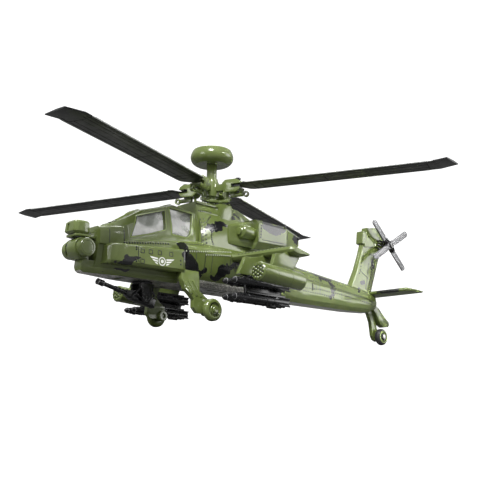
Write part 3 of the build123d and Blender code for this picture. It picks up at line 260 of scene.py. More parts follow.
# ------------------------------------------------------------------ camouflage
# (x, y, z, rx, ry, rz) in ship mm: the patches sprayed on the toy's green parts
PATCHES = [
    # left cheek: a running splash, low at the front
    (12.7, -53.6, 23.6, 3, 2.4, 1.4), (12.4, -55.9, 22.6, 3, 1.9, 1.9), (11.9, -57.4, 20.9, 3, 2.6, 1.5), (11.2, -60.2, 20.0, 4, 2.6, 1.2), (6.5, -54.6, 19.4, 4, 3.4, 1.0),
    (9.5, -64.0, 19.0, 4, 4.0, 1.0),
    (12.2, -56.6, 21.8, 3, 1.6, 2.9), (11.6, -57.6, 19.8, 3, 3.2, 1.0),
    # ridge and middle body, port
    (14.2, -25.0, 24.2, 3, 4.4, 3.2), (13.4, -21.6, 21.4, 3, 4.0, 2.4), (14.2, -4.8, 24.0, 3, 3.2, 2.9), (13.0, -7.4, 20.8, 3, 3.6, 1.7),
    (12.4, -28.4, 32.4, 4, 2.0, 2.2), (14.8, -28.2, 29.0, 3, 2.0, 2.8), (14.6, -26.6, 25.6, 3, 3.2, 3.0), (14.0, -24.2, 23.2, 3, 4.0, 2.6),
    (13.2, -20.0, 21.6, 3, 3.4, 2.0), (11.6, -17.6, 19.2, 3, 1.5, 2.0), (13.2, -16.6, 22.4, 3, 1.6, 1.5),
    (14.9, -1.4, 27.4, 3, 2.8, 1.9), (14.3, -4.0, 25.0, 3, 2.5, 2.4), (13.2, -6.2, 22.2, 3, 3.0, 2.0), (12.6, -9.4, 21.0, 3, 2.4, 1.3), (15.4, 1.6, 28.8, 3, 2.2, 1.1),
    # pylon top and engine, port
    (10.2, -10.8, 43.8, 3, 2.2, 1.8), (10.0, -7.4, 45.0, 3, 3.4, 1.6), (9.6, -4.0, 46.2, 3, 3.0, 2.2), (9.2, -1.2, 47.4, 3, 2.4, 1.2), (7.6, 6.6, 51.4, 3.0, 2.4, 1.6), (6.4, 9.0, 53.6, 3, 2.4, 1.2),
    (16.4, 21.6, 49.2, 4, 4.4, 3.2), (16.6, 26.6, 48.0, 3, 3.8, 3.4), (15.6, 31.4, 49.8, 3, 2.6, 2.0), (13.9, 43.6, 47.6, 3, 3.4, 1.8), (13.7, 46.0, 46.2, 3, 1.6, 1.6),
    # starboard
    (-13.0, -45.0, 26.8, 4, 4.4, 2.4), (-12.6, -40.0, 23.6, 4, 3.0, 2.8), (-14.6, -24.0, 29.0, 4, 4.2, 2.6), (-13.4, -18.6, 24.0, 4, 3.0, 2.6),
    (-12.0, -14.6, 20.0, 4, 3.4, 1.6), (-15.0, -3.0, 27.0, 4, 3.4, 2.4), (-9.8, -9.0, 44.8, 3, 3.4, 3.0), (-9.4, -4.0, 48.4, 3, 3.2, 2.0),
    (-16.4, 20.0, 47.6, 4, 4.2, 3.0), (-16.0, 25.4, 44.0, 4, 3.6, 2.4), (-14.0, 38.6, 46.6, 4, 4.0, 2.0), (-8.0, -58.6, 33.4, 3, 3.6, 1.8),
    # roof and pylon top
    (2.5, 15.0, 56.6, 3.4, 3.6, 3), (-3.5, 20.5, 54.0, 2.6, 4.0, 3), (1.0, -9.6, 56.4, 3.6, 2.4, 3), (1.6, 33.0, 48.4, 2.2, 4.2, 3),
    # boom
    (3.2, 70.4, 33.2, 2.6, 3.0, 1.1), (4.4, 75.4, 31.8, 2.6, 4.4, 1.4), (4.4, 80.6, 31.2, 3.0, 3.8, 1.3), (5.4, 82.4, 28.6, 2.4, 1.8, 1.6), (5.9, 81.6, 25.6, 2.4, 2.2, 1.7),
    (6.2, 81.2, 23.0, 2.4, 2.8, 1.2), (-4.4, 62.0, 32.6, 3.2, 5.0, 2.4), (-6.4, 67.6, 27.0, 3.2, 3.6, 2.6), (-4.6, 92.0, 30.6, 3.2, 5.4, 2.0), (-5.6, 100.0, 24.0, 3.2, 4.4, 2.2),
    (0.5, 96.0, 32.0, 2.6, 3.4, 1.0), (4.0, 109.0, 29.2, 2.4, 3.0, 0.9),
    # fin
    (1.6, 113.7, 34.4, 2.0, 1.8, 2.0), (1.6, 123.6, 36.4, 2.0, 1.4, 2.2), (1.8, 124.6, 47.0, 2.0, 1.6, 2.8), (1.8, 122.0, 44.0, 2.0, 1.1, 1.5), (-1.8, 116.0, 41.0, 2.0, 2.6, 3.0),
    (-1.8, 122.6, 48.6, 2.0, 3.2, 2.4), (-1.6, 118.6, 34.0, 2.0, 3.0, 2.0), (1.4, 127.0, 41.4, 1.8, 1.0, 1.8),
    # tailplane
    (12.0, 122.0, 29.6, 5.4, 3.4, 1.6), (17.6, 121.6, 29.6, 4.2, 2.6, 1.6), (-14.0, 131.0, 29.4, 5.0, 3.0, 1.6), (-20.0, 125.0, 29.2, 3.4, 3.0, 1.6), (22.0, 131.6, 29.6, 2.6, 2.4, 1.2),
    # wings
    (26.0, 6.0, 31.4, 4.0, 3.2, 1.2), (40.0, 12.0, 31.4, 3.4, 2.6, 1.2), (-22.0, 8.0, 31.6, 4.0, 3.6, 1.4), (-32.0, 13.0, 31.4, 4.6, 3.0, 1.4), (33.0, 9.6, 31.4, 2.6, 1.8, 1.2),
]


def camo_group():
    g = bpy.data.node_groups.new("camouflage", "ShaderNodeTree")
    g.interface.new_socket("Vector", in_out="INPUT", socket_type="NodeSocketVector")
    g.interface.new_socket("Mask", in_out="OUTPUT", socket_type="NodeSocketFloat")
    t = Tree.__new__(Tree)
    t.t = g
    gin, gout = t.n("NodeGroupInput"), t.n("NodeGroupOutput")
    # a little wander makes the sprayed edges irregular
    wander = t.noise(gin.outputs[0], 210.0, 0.6, 0.4, out="Color")
    off = t.vec("MULTIPLY", t.vec("SUBTRACT", wander, (0.5, 0.5, 0.5)), (0.0062, 0.0062, 0.0062))
    p = t.vec("ADD", gin.outputs[0], off)
    best = None
    for x, y, z, rx, ry, rz in PATCHES:
        c = P(x, y, z)
        d = t.vec("SUBTRACT", p, tuple(c))
        d = t.vec("MULTIPLY", d, (1 / (rx * MM), 1 / (ry * MM), 1 / (rz * MM)))
        d = t.vec("LENGTH", d)
        best = d if best is None else t.math("MINIMUM", best, d)
    mask = t.ramp(best, 0.93, 1.03, 1.0, 0.0)
    t.link(mask, gout.inputs[0])
    return g


CAMO = camo_group()

GREEN_LIGHT = (0.118, 0.152, 0.044)
GREEN_DARK = (0.100, 0.132, 0.034)
BLACK = (0.0075, 0.0078, 0.0082)


def green_finish(name, camo=True, rough=(0.14, 0.24), peel=0.00003, belly=False, tint=1.0, coat=0.35):
    """Gloss olive enamel: cloudy colour, fine pale specks, fine orange peel, black sprayed patches."""
    m = Tree(name)
    p = m.obj()
    cloud = m.noise(p, 70.0, 4.0, 0.55)
    base = m.mix(m.ramp(cloud, 0.25, 0.75), tuple(c * tint for c in GREEN_DARK), tuple(c * tint for c in GREEN_LIGHT))
    speck = m.noise(p, 2600.0, 2.0, 0.6)
    base = m.mix(m.ramp(speck, 0.66, 0.84, 0.0, 0.10), base, tuple(c * 1.3 * tint for c in GREEN_LIGHT))
    rub = m.noise(p, 330.0, 5.0, 0.7)
    r = m.ramp(rub, 0.3, 0.75, rough[0], rough[1])
    if camo:
        g = m.n("ShaderNodeGroup")
        g.node_tree = CAMO
        m.link(p, g.inputs[0])
        mask = g.outputs[0]
        soot = m.mix(m.ramp(cloud, 0.3, 0.7), BLACK, tuple(c * 1.9 for c in BLACK))
        base = m.mix(mask, base, soot)
    height = m.math("ADD", m.math("MULTIPLY", m.noise(p, 1100.0, 2.0, 0.5), 1.0), m.math("MULTIPLY", m.noise(p, 160.0, 2.0, 0.5), 0.8))
    if belly:
        # stippled underside: coarse spark-eroded texture, pale grey, only where the face looks down
        nrm = m.xyz(m.n("ShaderNodeNewGeometry").outputs["Normal"])["Z"]
        down = m.ramp(nrm, -0.80, -0.62, 1.0, 0.0)
        aft = m.ramp(m.xyz(p)["Y"], P(0, -24.5, 0).y, P(0, -23.5, 0).y, 0.0, 1.0)
        down = m.math("MAXIMUM", down, m.math("MULTIPLY", aft, m.ramp(nrm, -0.45, -0.25, 1.0, 0.0)))
        grit = m.voronoi(p, 1500.0, out="Distance")
        grit2 = m.noise(p, 1900.0, 3.0, 0.65)
        pale = m.mix(m.ramp(grit2, 0.44, 0.60), (0.24, 0.235, 0.21), (0.84, 0.82, 0.76))
        pale = m.mix(m.ramp(m.noise(p, 90.0, 3.0, 0.6), 0.35, 0.70, 0.0, 0.55), pale, (0.060, 0.070, 0.045))
        base = m.mix(down, base, pale)
        r = m.math("ADD", r, m.math("MULTIPLY", down, 0.30))
        height = m.math("ADD", height, m.math("MULTIPLY", down, m.math("MULTIPLY", m.ramp(grit, 0.0, 0.6), 4.0)))
    normal = m.bump(height, peel, 1.0)
    return m.principled(color=base, rough=r, normal=normal, coat=coat, coat_rough=0.10, ior=1.5)


def dark_finish(name, colour, rough=(0.30, 0.46), grain=0.00003, scale=900.0, glint=0.0):
    """Satin moulded plastic: slight colour drift, fine mould grain, handling gloss."""
    m = Tree(name)
    p = m.obj()
    cloud = m.noise(p, 120.0, 4.0, 0.6)
    base = m.mix(m.ramp(cloud, 0.3, 0.7), tuple(c * 0.85 for c in colour), tuple(c * 1.18 for c in colour))
    fine = m.noise(p, scale, 3.0, 0.6)
    base = m.mix(m.ramp(fine, 0.66, 0.84, 0.0, 0.12), base, tuple(min(1.0, c * 1.8 + 0.004) for c in colour))
    r = m.ramp(m.noise(p, 260.0, 4.0, 0.65), 0.3, 0.72, rough[0], rough[1])
    normal = m.bump(m.math("ADD", fine, m.math("MULTIPLY", m.noise(p, 200.0), 0.7)), grain, 1.0)
    return m.principled(color=base, rough=r, normal=normal, ior=1.48)


def metal_finish(name, colour=(0.56, 0.56, 0.55)):
    m = Tree(name)
    p = m.obj()
    streak = m.noise(m.vec("MULTIPLY", p, (1.0, 1.0, 9.0)), 900.0, 4.0, 0.6)
    base = m.mix(m.ramp(streak, 0.3, 0.7), tuple(c * 0.72 for c in colour), colour)
    r = m.ramp(streak, 0.3, 0.7, 0.24, 0.40)
    return m.principled(color=base, rough=r, normal=m.bump(streak, 0.00001), metal=1.0)


def clear_finish(name):
    """Clear moulded canopy: faint green-grey tint, slight waviness, hazy patches."""
    m = Tree(name)
    p = m.obj()
    wave = m.noise(p, 60.0, 2.0, 0.4)
    haze = m.noise(p, 500.0, 4.0, 0.7)
    r = m.ramp(haze, 0.35, 0.75, 0.03, 0.12)
    cloud = m.noise(m.vec("MULTIPLY", p, (1.0, 1.0, 2.2)), 75.0, 1.0, 0.4)
    tint = m.mix(m.ramp(cloud, 0.42, 0.56), (0.36, 0.38, 0.34), (1.0, 1.0, 0.98))
    b = m.n("ShaderNodeBsdfPrincipled")
    m.link(tint, b.inputs["Base Color"])
    m.link(r, b.inputs["Roughness"])
    b.inputs["IOR"].default_value = 1.49
    m.link(m.bump(wave, 0.0002, 0.5), b.inputs["Normal"])
    alpha = m.math("MULTIPLY", m.ramp(haze, 0.3, 0.8, 0.85, 1.1), m.ramp(m.xyz(p)["Y"], P(0, -38, 0).y, P(0, -34, 0).y, 0.60, 0.36))
    m.link(alpha, b.inputs["Alpha"])
    out = m.n("ShaderNodeOutputMaterial")
    m.link(b.outputs[0], out.inputs[0])
    return m.owner


MAT = {
    "green": green_finish("green_enamel"),
    "green_plain": green_finish("green_plastic", camo=False),
    "belly": green_finish("green_belly", belly=True),
    "wing": green_finish("green_wing", rough=(0.34, 0.48), coat=0.04),
    "black": dark_finish("black_plastic", (0.010, 0.010, 0.011), rough=(0.18, 0.30), grain=0.000008),
    "blade": dark_finish("charcoal_blade", (0.014, 0.015, 0.015), rough=(0.30, 0.42), grain=0.000004),
    "tail_blade": dark_finish("tail_blade_grey", (0.15, 0.15, 0.155), rough=(0.26, 0.34), grain=0.000001, scale=160.0),
    "pale": dark_finish("pale_interior", (0.80, 0.82, 0.77), rough=(0.45, 0.6)),
    "seat": dark_finish("seat_green", (0.045, 0.066, 0.020), rough=(0.4, 0.55)),
    "steel": metal_finish("zinc_steel"),
    "clear": clear_finish("clear_canopy"),
    # dark olive for panel lines and window seals, also painted shade round rivets and behind the rocket pod tubes
    "joint_and_shade": dark_finish("dark_olive_joints_and_painted_shade", (0.0075, 0.0095, 0.0040), rough=(0.3, 0.5)),
    "white": dark_finish("printed_white", (0.66, 0.67, 0.64), rough=(0.3, 0.45)),
    "blade_line": dark_finish("blade_line_grey", (0.10, 0.10, 0.105), rough=(0.3, 0.45)),
    "pale_green": green_finish("pale_green_plastic", camo=False, tint=2.2),
    # pale green painted highlight for rivet tops along lit edges
    "lit_rivet_green": dark_finish("painted_highlight_pale_green", (0.42, 0.46, 0.33), rough=(0.2, 0.35)),
    # pale grey painted highlight for the blade edge beads
    "blade_highlight": dark_finish("painted_highlight_blade_grey", (0.72, 0.73, 0.72), rough=(0.2, 0.35), grain=0.000004),
    "groove": dark_finish("blade_groove_black", (0.0028, 0.0028, 0.0030), rough=(0.5, 0.7)),
    # bright green painted highlight for standing edges and window rims
    "edge_highlight": green_finish("painted_highlight_green_edges", camo=False, tint=1.9),
    "green_wheel": green_finish("green_wheel_plastic", camo=False, tint=0.9),
    "pale_grey": dark_finish("pale_grey_plastic", (0.34, 0.34, 0.34), rough=(0.25, 0.4)),
    "lens": dark_finish("sensor_lens_black", (0.004, 0.005, 0.006), rough=(0.05, 0.1)),
    "tyre": dark_finish("tyre_black", (0.018, 0.018, 0.018), rough=(0.5, 0.7)),
}
FINISH = {
    "stub_wing_left": "wing", "stub_wing_right": "wing", "stabilator": "wing",
    "fuselage_lower": "belly", "canopy_glazing": "clear", "cockpit_tub": "pale", "cockpit_seats": "seat",
    "body_screws": "steel", "main_axle_left": "green_plain", "main_axle_right": "green_plain", "tail_axle": "steel",
    "missile_rack_left": "black", "missile_rack_right": "black", "missiles_left": "black", "missiles_right": "black",
    "gun_mount": "black", "gun_receiver": "black", "gun_barrel": "black", "blade_pins": "black",
    "rotor_blade_1": "blade", "rotor_blade_2": "blade", "rotor_blade_3": "blade", "rotor_blade_4": "blade",
    "tail_rotor_hub": "black", "tail_rotor_blade_inner": "tail_blade", "tail_rotor_blade_outer": "tail_blade", "tail_wheel": "tyre",
}
PLAIN_GREEN = {"rotor_hub", "radome_post", "radome", "lag_dampers", "pitch_links", "swashplate", "main_wheel_left", "main_wheel_right", "main_mast",
               "sensor_neck", "lower_sensor", "upper_sensor", "main_gear_leg_left", "main_gear_leg_right", "tail_gear", "rocket_pod_left", "rocket_pod_right",
               "nose_gearbox_left", "nose_gearbox_right", "tail_gearbox"}
EDGE = {"fuselage_upper": 0.5, "tail_boom": 0.5, "cheek_fairing_left": 0.55, "cheek_fairing_right": 0.55, "canopy_frame": 0.22, "fuselage_lower": 0.35,
        "rotor_pylon": 0.5, "engine_nacelle_left": 0.6, "engine_nacelle_right": 0.6, "stub_wing_left": 0.3, "stub_wing_right": 0.3, "stabilator": 0.3,
        "upper_sensor": 0.7, "lower_sensor": 0.35, "rotor_hub": 0.25, "main_gear_leg_left": 0.35, "main_gear_leg_right": 0.35, "tail_gear": 0.35,
        "rotor_blade_1": 0.08, "rotor_blade_2": 0.08, "rotor_blade_3": 0.08, "rotor_blade_4": 0.08, "radome": 0.1, "canopy_glazing": 0.0,
        "tail_rotor_blade_inner": 0.12, "tail_rotor_blade_outer": 0.12, "missiles_left": 0.06, "missiles_right": 0.06}


def dress(name, ob):
    key = FINISH.get(name, "green_plain" if name in PLAIN_GREEN else "green")
    ob.data.materials.clear()
    ob.data.materials.append(MAT[key])
    w = EDGE.get(name, 0.18)
    weld = ob.modifiers.new("weld", "WELD")
    weld.merge_threshold = 2e-6
    if w:
        bev = ob.modifiers.new("edges", "BEVEL")
        bev.width, bev.segments, bev.limit_method, bev.angle_limit = w * MM, 3, "ANGLE", math.radians(24)
        bev.harden_normals = True
        bev.use_clamp_overlap = True
    ob.data.polygons.foreach_set("use_smooth", [True] * len(ob.data.polygons))


for node_name, node_object in NODES.items():
    dress(node_name, node_object)


# ------------------------------------------------------------------ fine work laid on the castings
def surface(names):
    """One search tree over the named pieces, in row metres."""
    verts, faces = [], []
    for n in names:
        ob, base = NODES[n], len(verts)
        verts += [tuple(ob.matrix_world @ v.co) for v in ob.data.vertices]
        faces += [[base + i for i in p.vertices] for p in ob.data.polygons]
    return BVHTree.FromPolygons(verts, faces)


HULL = ["fuselage_upper", "fuselage_lower", "tail_boom", "cheek_fairing_left", "cheek_fairing_right", "canopy_frame", "rotor_pylon",
        "engine_nacelle_left", "engine_nacelle_right", "stub_wing_left", "stub_wing_right", "stabilator"]
SKIN = surface(HULL)


class Heap:
    """Small raised pieces gathered into one mesh."""

    def __init__(self, name, finish, body, smooth=True):
        self.name, self.finish, self.body, self.smooth, self.v, self.f = name, finish, body, smooth, [], []

    def add(self, verts, faces):
        base = len(self.v)
        self.v += [tuple(p) for p in verts]
        self.f += [[base + i for i in f] for f in faces]

    def rivet(self, p, n, r=0.27, h=0.13, sides=8):
        """A domed head standing on the surface."""
        n = n.normalized()
        a = n.orthogonal().normalized()
        b = n.cross(a)
        verts = []
        for rr, hh in ((r, -0.05), (r * 0.94, 0.45 * h), (r * 0.62, 0.86 * h)):
            verts += [p + (a * math.cos(t) + b * math.sin(t)) * rr * MM + n * hh * MM for t in [2 * math.pi * k / sides for k in range(sides)]]
        verts.append(p + n * h * MM)
        faces = [[k * sides + i, k * sides + (i + 1) % sides, (k + 1) * sides + (i + 1) % sides, (k + 1) * sides + i] for k in range(2) for i in range(sides)]
        faces += [[2 * sides + i, 2 * sides + (i + 1) % sides, 3 * sides] for i in range(sides)]
        faces.append(list(range(sides))[::-1])
        self.add(verts, faces)

    def ribbon(self, pts, nrms, width=0.24, lift=0.05, closed=False):
        """A thin raised strip that follows points lying on a surface."""
        m = len(pts)
        if m < 2:
            return
        verts = []
        for i in range(m):
            if closed:
                t = pts[(i + 1) % m] - pts[i - 1]
            else:
                t = pts[min(i + 1, m - 1)] - pts[max(i - 1, 0)]
            n = nrms[i].normalized()
            side = n.cross(t)
            if side.length < 1e-12:
                side = n.orthogonal()
            side = side.normalized() * width * 0.5 * MM
            up, down = n * lift * MM, n * -0.06 * MM
            verts += [pts[i] - side + down, pts[i] - side * 0.8 + up, pts[i] + side * 0.8 + up, pts[i] + side + down]
        faces = []
        for i in range(m if closed else m - 1):
            j = (i + 1) % m
            for k in range(4):
                faces.append([4 * i + k, 4 * i + (k + 1) % 4, 4 * j + (k + 1) % 4, 4 * j + k])
        if not closed:
            faces += [[3, 2, 1, 0], [4 * (m - 1) + k for k in range(4)]]
        self.add(verts, faces)

    def make(self):
        if not self.v:
            return None
        me = bpy.data.meshes.new(self.name)
        me.from_pydata(self.v, [], self.f)
        bm = bmesh.new()
        bm.from_mesh(me)
        bmesh.ops.recalc_face_normals(bm, faces=bm.faces)
        bm.to_mesh(me)
        bm.free()
        me.materials.append(MAT[self.finish])
        me.polygons.foreach_set("use_smooth", [self.smooth] * len(me.polygons))
        ob = bpy.data.objects.new(self.name, me)
        bpy.context.scene.collection.objects.link(ob)
        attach(ob, self.body)
        return ob


def resample(pts, step):
    """Points at even steps along a path given in ship millimetres."""
    out, left = [Vector(pts[0])], step
    for a, b in zip(pts, pts[1:]):
        a, b = Vector(a), Vector(b)
        d, at_ = (b - a).length, 0.0
        while d - at_ >= left:
            at_ += left
            out.append(a.lerp(b, at_ / d))
            left = step
        left -= d - at_
    return out


def mirrored(p):
    return Vector((-p[0], p[1], p[2]))


def on_skin(p, tree=None, reach=1.6):
    loc, nrm, _, _ = (tree or SKIN).find_nearest(P(*p), reach * MM)
    return (loc, nrm) if loc is not None else None


def rivet_row(heap, pts, step=1.25, r=0.27, h=0.13, both=True, tree=None, pale=False):
    for p in resample(pts, step):
        for q in ((p, mirrored(p)) if both else (p,)):
            s = on_skin(q, tree)
            if s:
                # on rows along edges that catch the light, a pale painted highlight sits on a flat ring of painted
                # shadow; on other rows the whole dark dome is painted shade round the rivet
                heap.rivet(s[0], s[1], r * (2.2 if pale else 1.8), h * (0.3 if pale else 1.2), 10)
                if pale:
                    rivet_glints.rivet(s[0] + s[1].normalized() * 0.03 * MM, s[1], r * 1.5, h * 1.25)


def panel_line(heap, pts, width=0.24, lift=0.05, both=True, step=0.6, closed=False, tree=None):
    path = resample(list(pts) + ([pts[0]] if closed else []), step)
    if closed:
        path = path[:-1] if (path[-1] - path[0]).length < 0.5 * step else path
    for flip in ((False, True) if both else (False,)):
        hits = [on_skin(mirrored(p) if flip else p, tree) for p in path]
        run = []
        for s in hits + [None]:
            if s is not None and (not run or (s[0] - run[-1][0]).length < 3.0 * step * MM):
                run.append(s)
                continue
            if len(run) > 1:
                heap.ribbon([a for a, _ in run], [b for _, b in run], width, lift, closed and len(run) == len(hits))
            run = [s] if s is not None else []


# dark rivet domes and rings are painted shade; the pale rivet tops are painted highlights
rivet_shade = Heap("skin_rivet_painted_shade", "joint_and_shade", "airframe")
rivet_glints = Heap("skin_rivet_painted_highlights", "lit_rivet_green", "airframe")
lines = Heap("skin_panel_lines", "joint_and_shade", "airframe")
# the standing edges are coloured bright as painted highlights
raised = Heap("skin_edge_painted_highlights", "edge_highlight", "airframe")
white = Heap("side_marking", "white", "airframe", smooth=False)
knobs = Heap("skin_black_fittings", "black", "airframe")

# rows of rivets, port side given, starboard mirrored
for row, gap in (
        ([(8.5, -56.42, 30.11), (8.66, -48.84, 31.16), (8.77, -40.72, 32.25), (8.84, -33.01, 33.1)], 1.22),
        ([(13.2, -27.16, 33.4), (11.81, -15.71, 34.72)], 1.25),
        ([(14.72, -27.84, 29.9), (15.6, -18.2, 30.9), (15.0, -12.0, 31.9), (14.22, -7.68, 32.61), (12.85, 1.12, 33.81)], 1.15),
        ([(15.43, -16.88, 29.64), (15.6, -8.91, 30.59), (15.6, -2.09, 31.2)], 1.15),
        ([(12.67, -53.16, 28.2), (12.68, -53.07, 26.4)], 0.85),
        ([(12.67, -53.17, 23.14), (12.4, -52.87, 21.8)], 0.85),
        ([(14.6, -30.9, 25.28), (14.4, -30.6, 22.2)], 1.5),
        ([(9.36, -15.6, 47.24), (10.2, -14.98, 40.24), (11.6, -14.6, 35.6)], 1.5),
        ([(9.0, -13.6, 47.6), (10.1, -13.2, 40.6), (11.4, -12.8, 36.2)], 1.7),
        ([(7.32, -15.13, 51.6), (7.34, -11.17, 51.9), (7.4, -7.5, 52.0)], 1.1),
        ([(10.2, -9.63, 43.0), (10.4, -9.56, 38.3), (10.8, -8.55, 35.9)], 1.0),
        ([(8.6, -9.06, 49.6), (9.77, -12.56, 45.88)], 1.0),
        ([(6.9, 61.0, 29.4), (5.7, 68.15, 29.2), (5.38, 87.56, 27.4), (5.13, 103.58, 25.9), (3.97, 121.0, 24.1)], 1.35),
        ([(7.3, 54.0, 24.6), (6.59, 71.07, 25.1), (6.01, 88.41, 24.5), (5.35, 106.82, 23.2), (4.12, 120.0, 21.9)], 1.6),
        ([(7.08, 57.81, 22.9), (6.63, 71.01, 22.7), (6.2, 84.0, 22.2)], 1.7),
        ([(6.2, 58.0, 31.6), (4.8, 75.0, 31.0), (4.3, 96.0, 29.6)], 2.1),
        ([(1.93, 124.6, 47.64), (2.02, 121.9, 39.62), (2.12, 119.4, 31.79)], 1.4),
        ([(2.0, 116.6, 52.0), (2.0, 110.8, 38.0)], 2.0),
        ([(16.9, 16.4, 48.6), (16.9, 16.0, 41.6)], 1.3),
        ([(12.6, 20.0, 23.2), (11.6, 27.0, 23.0), (8.6, 42.0, 22.8)], 1.5),
        ([(14.6, -6.0, 26.6), (14.6, 8.0, 26.4), (13.4, 20.0, 26.2)], 1.5),
        ([(20.0, -1.6, 32.2), (34.0, -1.4, 31.9), (50.0, -1.2, 31.2)], 1.9),
        ([(20.0, 16.4, 31.4), (34.0, 12.4, 30.6), (49.0, 8.6, 29.6)], 1.9)):
    rivet_row(rivet_shade, row, gap * 1.12, r=0.25, pale=gap == 1.15)

# seams between panels
for path, w in (
        ([(12.49, -52.07, 28.6), (12.76, -52.08, 24.73), (12.35, -51.6, 21.4)], 0.3),
        ([(14.4, -29.3, 29.6), (14.76, -29.2, 25.51), (14.2, -29.0, 21.2)], 0.3),
        ([(15.6, -22.72, 30.3), (15.04, -22.4, 27.97), (14.58, -22.2, 25.0)], 0.22),
        ([(15.5, -17.3, 31.0), (14.82, -17.0, 27.02), (14.0, -16.8, 23.0), (12.6, -16.6, 20.6)], 0.28),
        ([(15.43, -13.2, 30.2), (14.65, -12.8, 26.26), (13.6, -12.4, 22.0)], 0.22),
        ([(9.2, -15.9, 46.8), (10.2, -15.7, 40.49), (11.4, -15.7, 36.0)], 0.3),
        ([(8.65, -56.95, 35.6), (8.6, -56.8, 34.0), (8.56, -56.53, 30.6)], 0.28),
        ([(7.6, -63.4, 35.2), (7.6, -63.2, 31.0), (7.2, -63.0, 28.9)], 0.22),
        ([(16.2, 35.4, 49.6), (16.12, 35.47, 47.14), (15.98, 35.62, 43.06)], 0.3),
        ([(16.8, 16.8, 41.8), (16.61, 22.53, 41.9), (16.36, 34.0, 42.2)], 0.24),
        ([(16.2, 14.8, 49.8), (16.6, 15.0, 45.9), (16.4, 15.0, 41.2)], 0.3),
        ([(6.6, 53.0, 30.4), (6.4, 69.66, 28.2), (5.99, 88.47, 26.4), (5.33, 106.89, 24.9), (4.14, 120.9, 23.3)], 0.26),
        ([(5.4, 50.0, 37.2), (4.27, 60.32, 33.9), (3.4, 75.27, 32.6), (3.0, 92.0, 31.4), (2.6, 104.0, 30.9)], 0.24),
        ([(6.8, 71.2, 29.6), (6.62, 71.1, 25.6), (6.4, 71.0, 22.0)], 0.2),
        ([(6.3, 90.0, 28.6), (6.0, 90.0, 24.6), (5.7, 90.0, 22.0)], 0.2),
        ([(1.9, 112.39, 40.84), (2.06, 120.0, 37.15)], 0.28),
        ([(1.95, 120.46, 46.8), (2.05, 118.35, 38.11), (2.19, 116.27, 30.6)], 0.24),
        ([(1.92, 125.38, 47.84), (1.86, 123.2, 39.85), (1.6, 121.4, 32.5)], 0.3),
        ([(1.9, 117.0, 52.6), (1.9, 131.4, 50.4)], 0.22),
        ([(15.4, -2.0, 30.2), (14.8, -2.0, 26.8), (13.8, -2.0, 22.6)], 0.24),
        ([(13.6, 12.0, 23.0), (15.4, 12.0, 29.8)], 0.24),
        ([(10.5, 20.0, 36.6), (10.0, 20.0, 37.2)], 0.24),
        ([(12.6, 30.0, 22.8), (12.5, 30.0, 29.6)], 0.24),
        ([(8.6, 42.8, 23.4), (8.2, 42.9, 28.0)], 0.24),
        ([(26.0, 15.8, 30.6), (26.0, 14.0, 31.4), (26.0, 6.0, 32.4), (26.0, 0.0, 32.0)], 0.24),
        ([(43.0, 11.6, 29.9), (43.0, 6.0, 31.4), (43.0, 0.0, 31.4)], 0.24),
        ([(20.0, 17.0, 30.4), (34.0, 13.2, 29.8), (50.0, 9.2, 29.0)], 0.24),
        ([(8.0, 132.9, 30.2), (24.0, 132.4, 30.1)], 0.22),
        ([(6.2, -15.2, 55.4), (6.6, -3.4, 56.4), (6.0, 4.0, 57.0), (5.2, 12.0, 57.0)], 0.24)):
    panel_line(lines, path, 1.55 * w)

# standing edges coloured bright green as painted highlights: canopy base, cheek top, cowl rim, window rims
for path, w in (
        ([(8.02, -55.92, 31.4), (8.51, -44.25, 33.0), (8.5, -30.13, 34.7), (8.8, -17.0, 36.4)], 0.34),
        ([(9.8, -64.9, 27.9), (12.0, -60.0, 28.7), (12.4, -51.5, 29.3), (14.4, -28.8, 30.4)], 0.30),
        ([(5.8, -66.9, 35.6), (7.2, -61.8, 36.2), (8.0, -56.6, 36.9)], 0.30),
        ([(15.5, -27.4, 31.0), (15.6, -16.0, 31.0), (15.6, -4.0, 31.0), (15.5, 16.0, 31.0)], 0.32),
        ([(10.4, -26.6, 36.4), (10.5, -16.2, 36.4)], 0.3),
        ([(17.1, 13.9, 49.6), (17.1, 13.9, 40.8)], 0.4)):
    panel_line(raised, path, w, lift=0.14)

# the cheek's five small square hatches
for y, z in ((-50.12, 27.0), (-46.12, 27.1), (-41.63, 27.3), (-35.88, 27.4), (-50.0, 22.6)):
    x = 12.9 + (y + 50.1) * 0.0875
    panel_line(lines, [(x, y - 0.85, z - 0.85), (x, y + 0.85, z - 0.85), (x, y + 0.85, z + 0.85), (x, y - 0.85, z + 0.85)], 0.40, step=0.425, closed=True)

# access hatches on body and boom
for x, y, z, hy, hz in ((14.9, 5.0, 26.8, 3.4, 1.9), (8.0, 37.0, 24.6, 3.0, 1.7), (6.6, 66.8, 26.0, 1.4, 1.5), (6.1, 96.0, 23.4, 2.4, 0.9), (9.6, 8.8, 41.0, 3.0, 2.0)):
    panel_line(lines, [(x, y - hy, z - hz), (x, y + hy, z - hz), (x, y + hy, z + hz), (x, y - hy, z + hz)], 0.34, step=0.5, closed=True)
panel_line(knobs, [(6.7, 64.7, 27.4), (6.8, 64.6, 23.8)], 0.7, lift=0.10)


def flat_patch(heap, outline, x_guess, lift=0.035):
    """A printed shape on the cheek, given as (y, z) corners."""
    for sgn in (1, -1):
        pts = []
        for y, z in outline:
            s = on_skin((sgn * (x_guess + (y + 50.1) * 0.0875), y, z))
            pts.append(s[0] + s[1].normalized() * lift * MM)
        low = [p - Vector((sgn * 0.06 * MM, 0, 0)) for p in pts]
        m = len(pts)
        heap.add(pts + low, [list(range(m)), list(range(2 * m - 1, m - 1, -1))] + [[i, (i + 1) % m, m + (i + 1) % m, m + i] for i in range(m)])


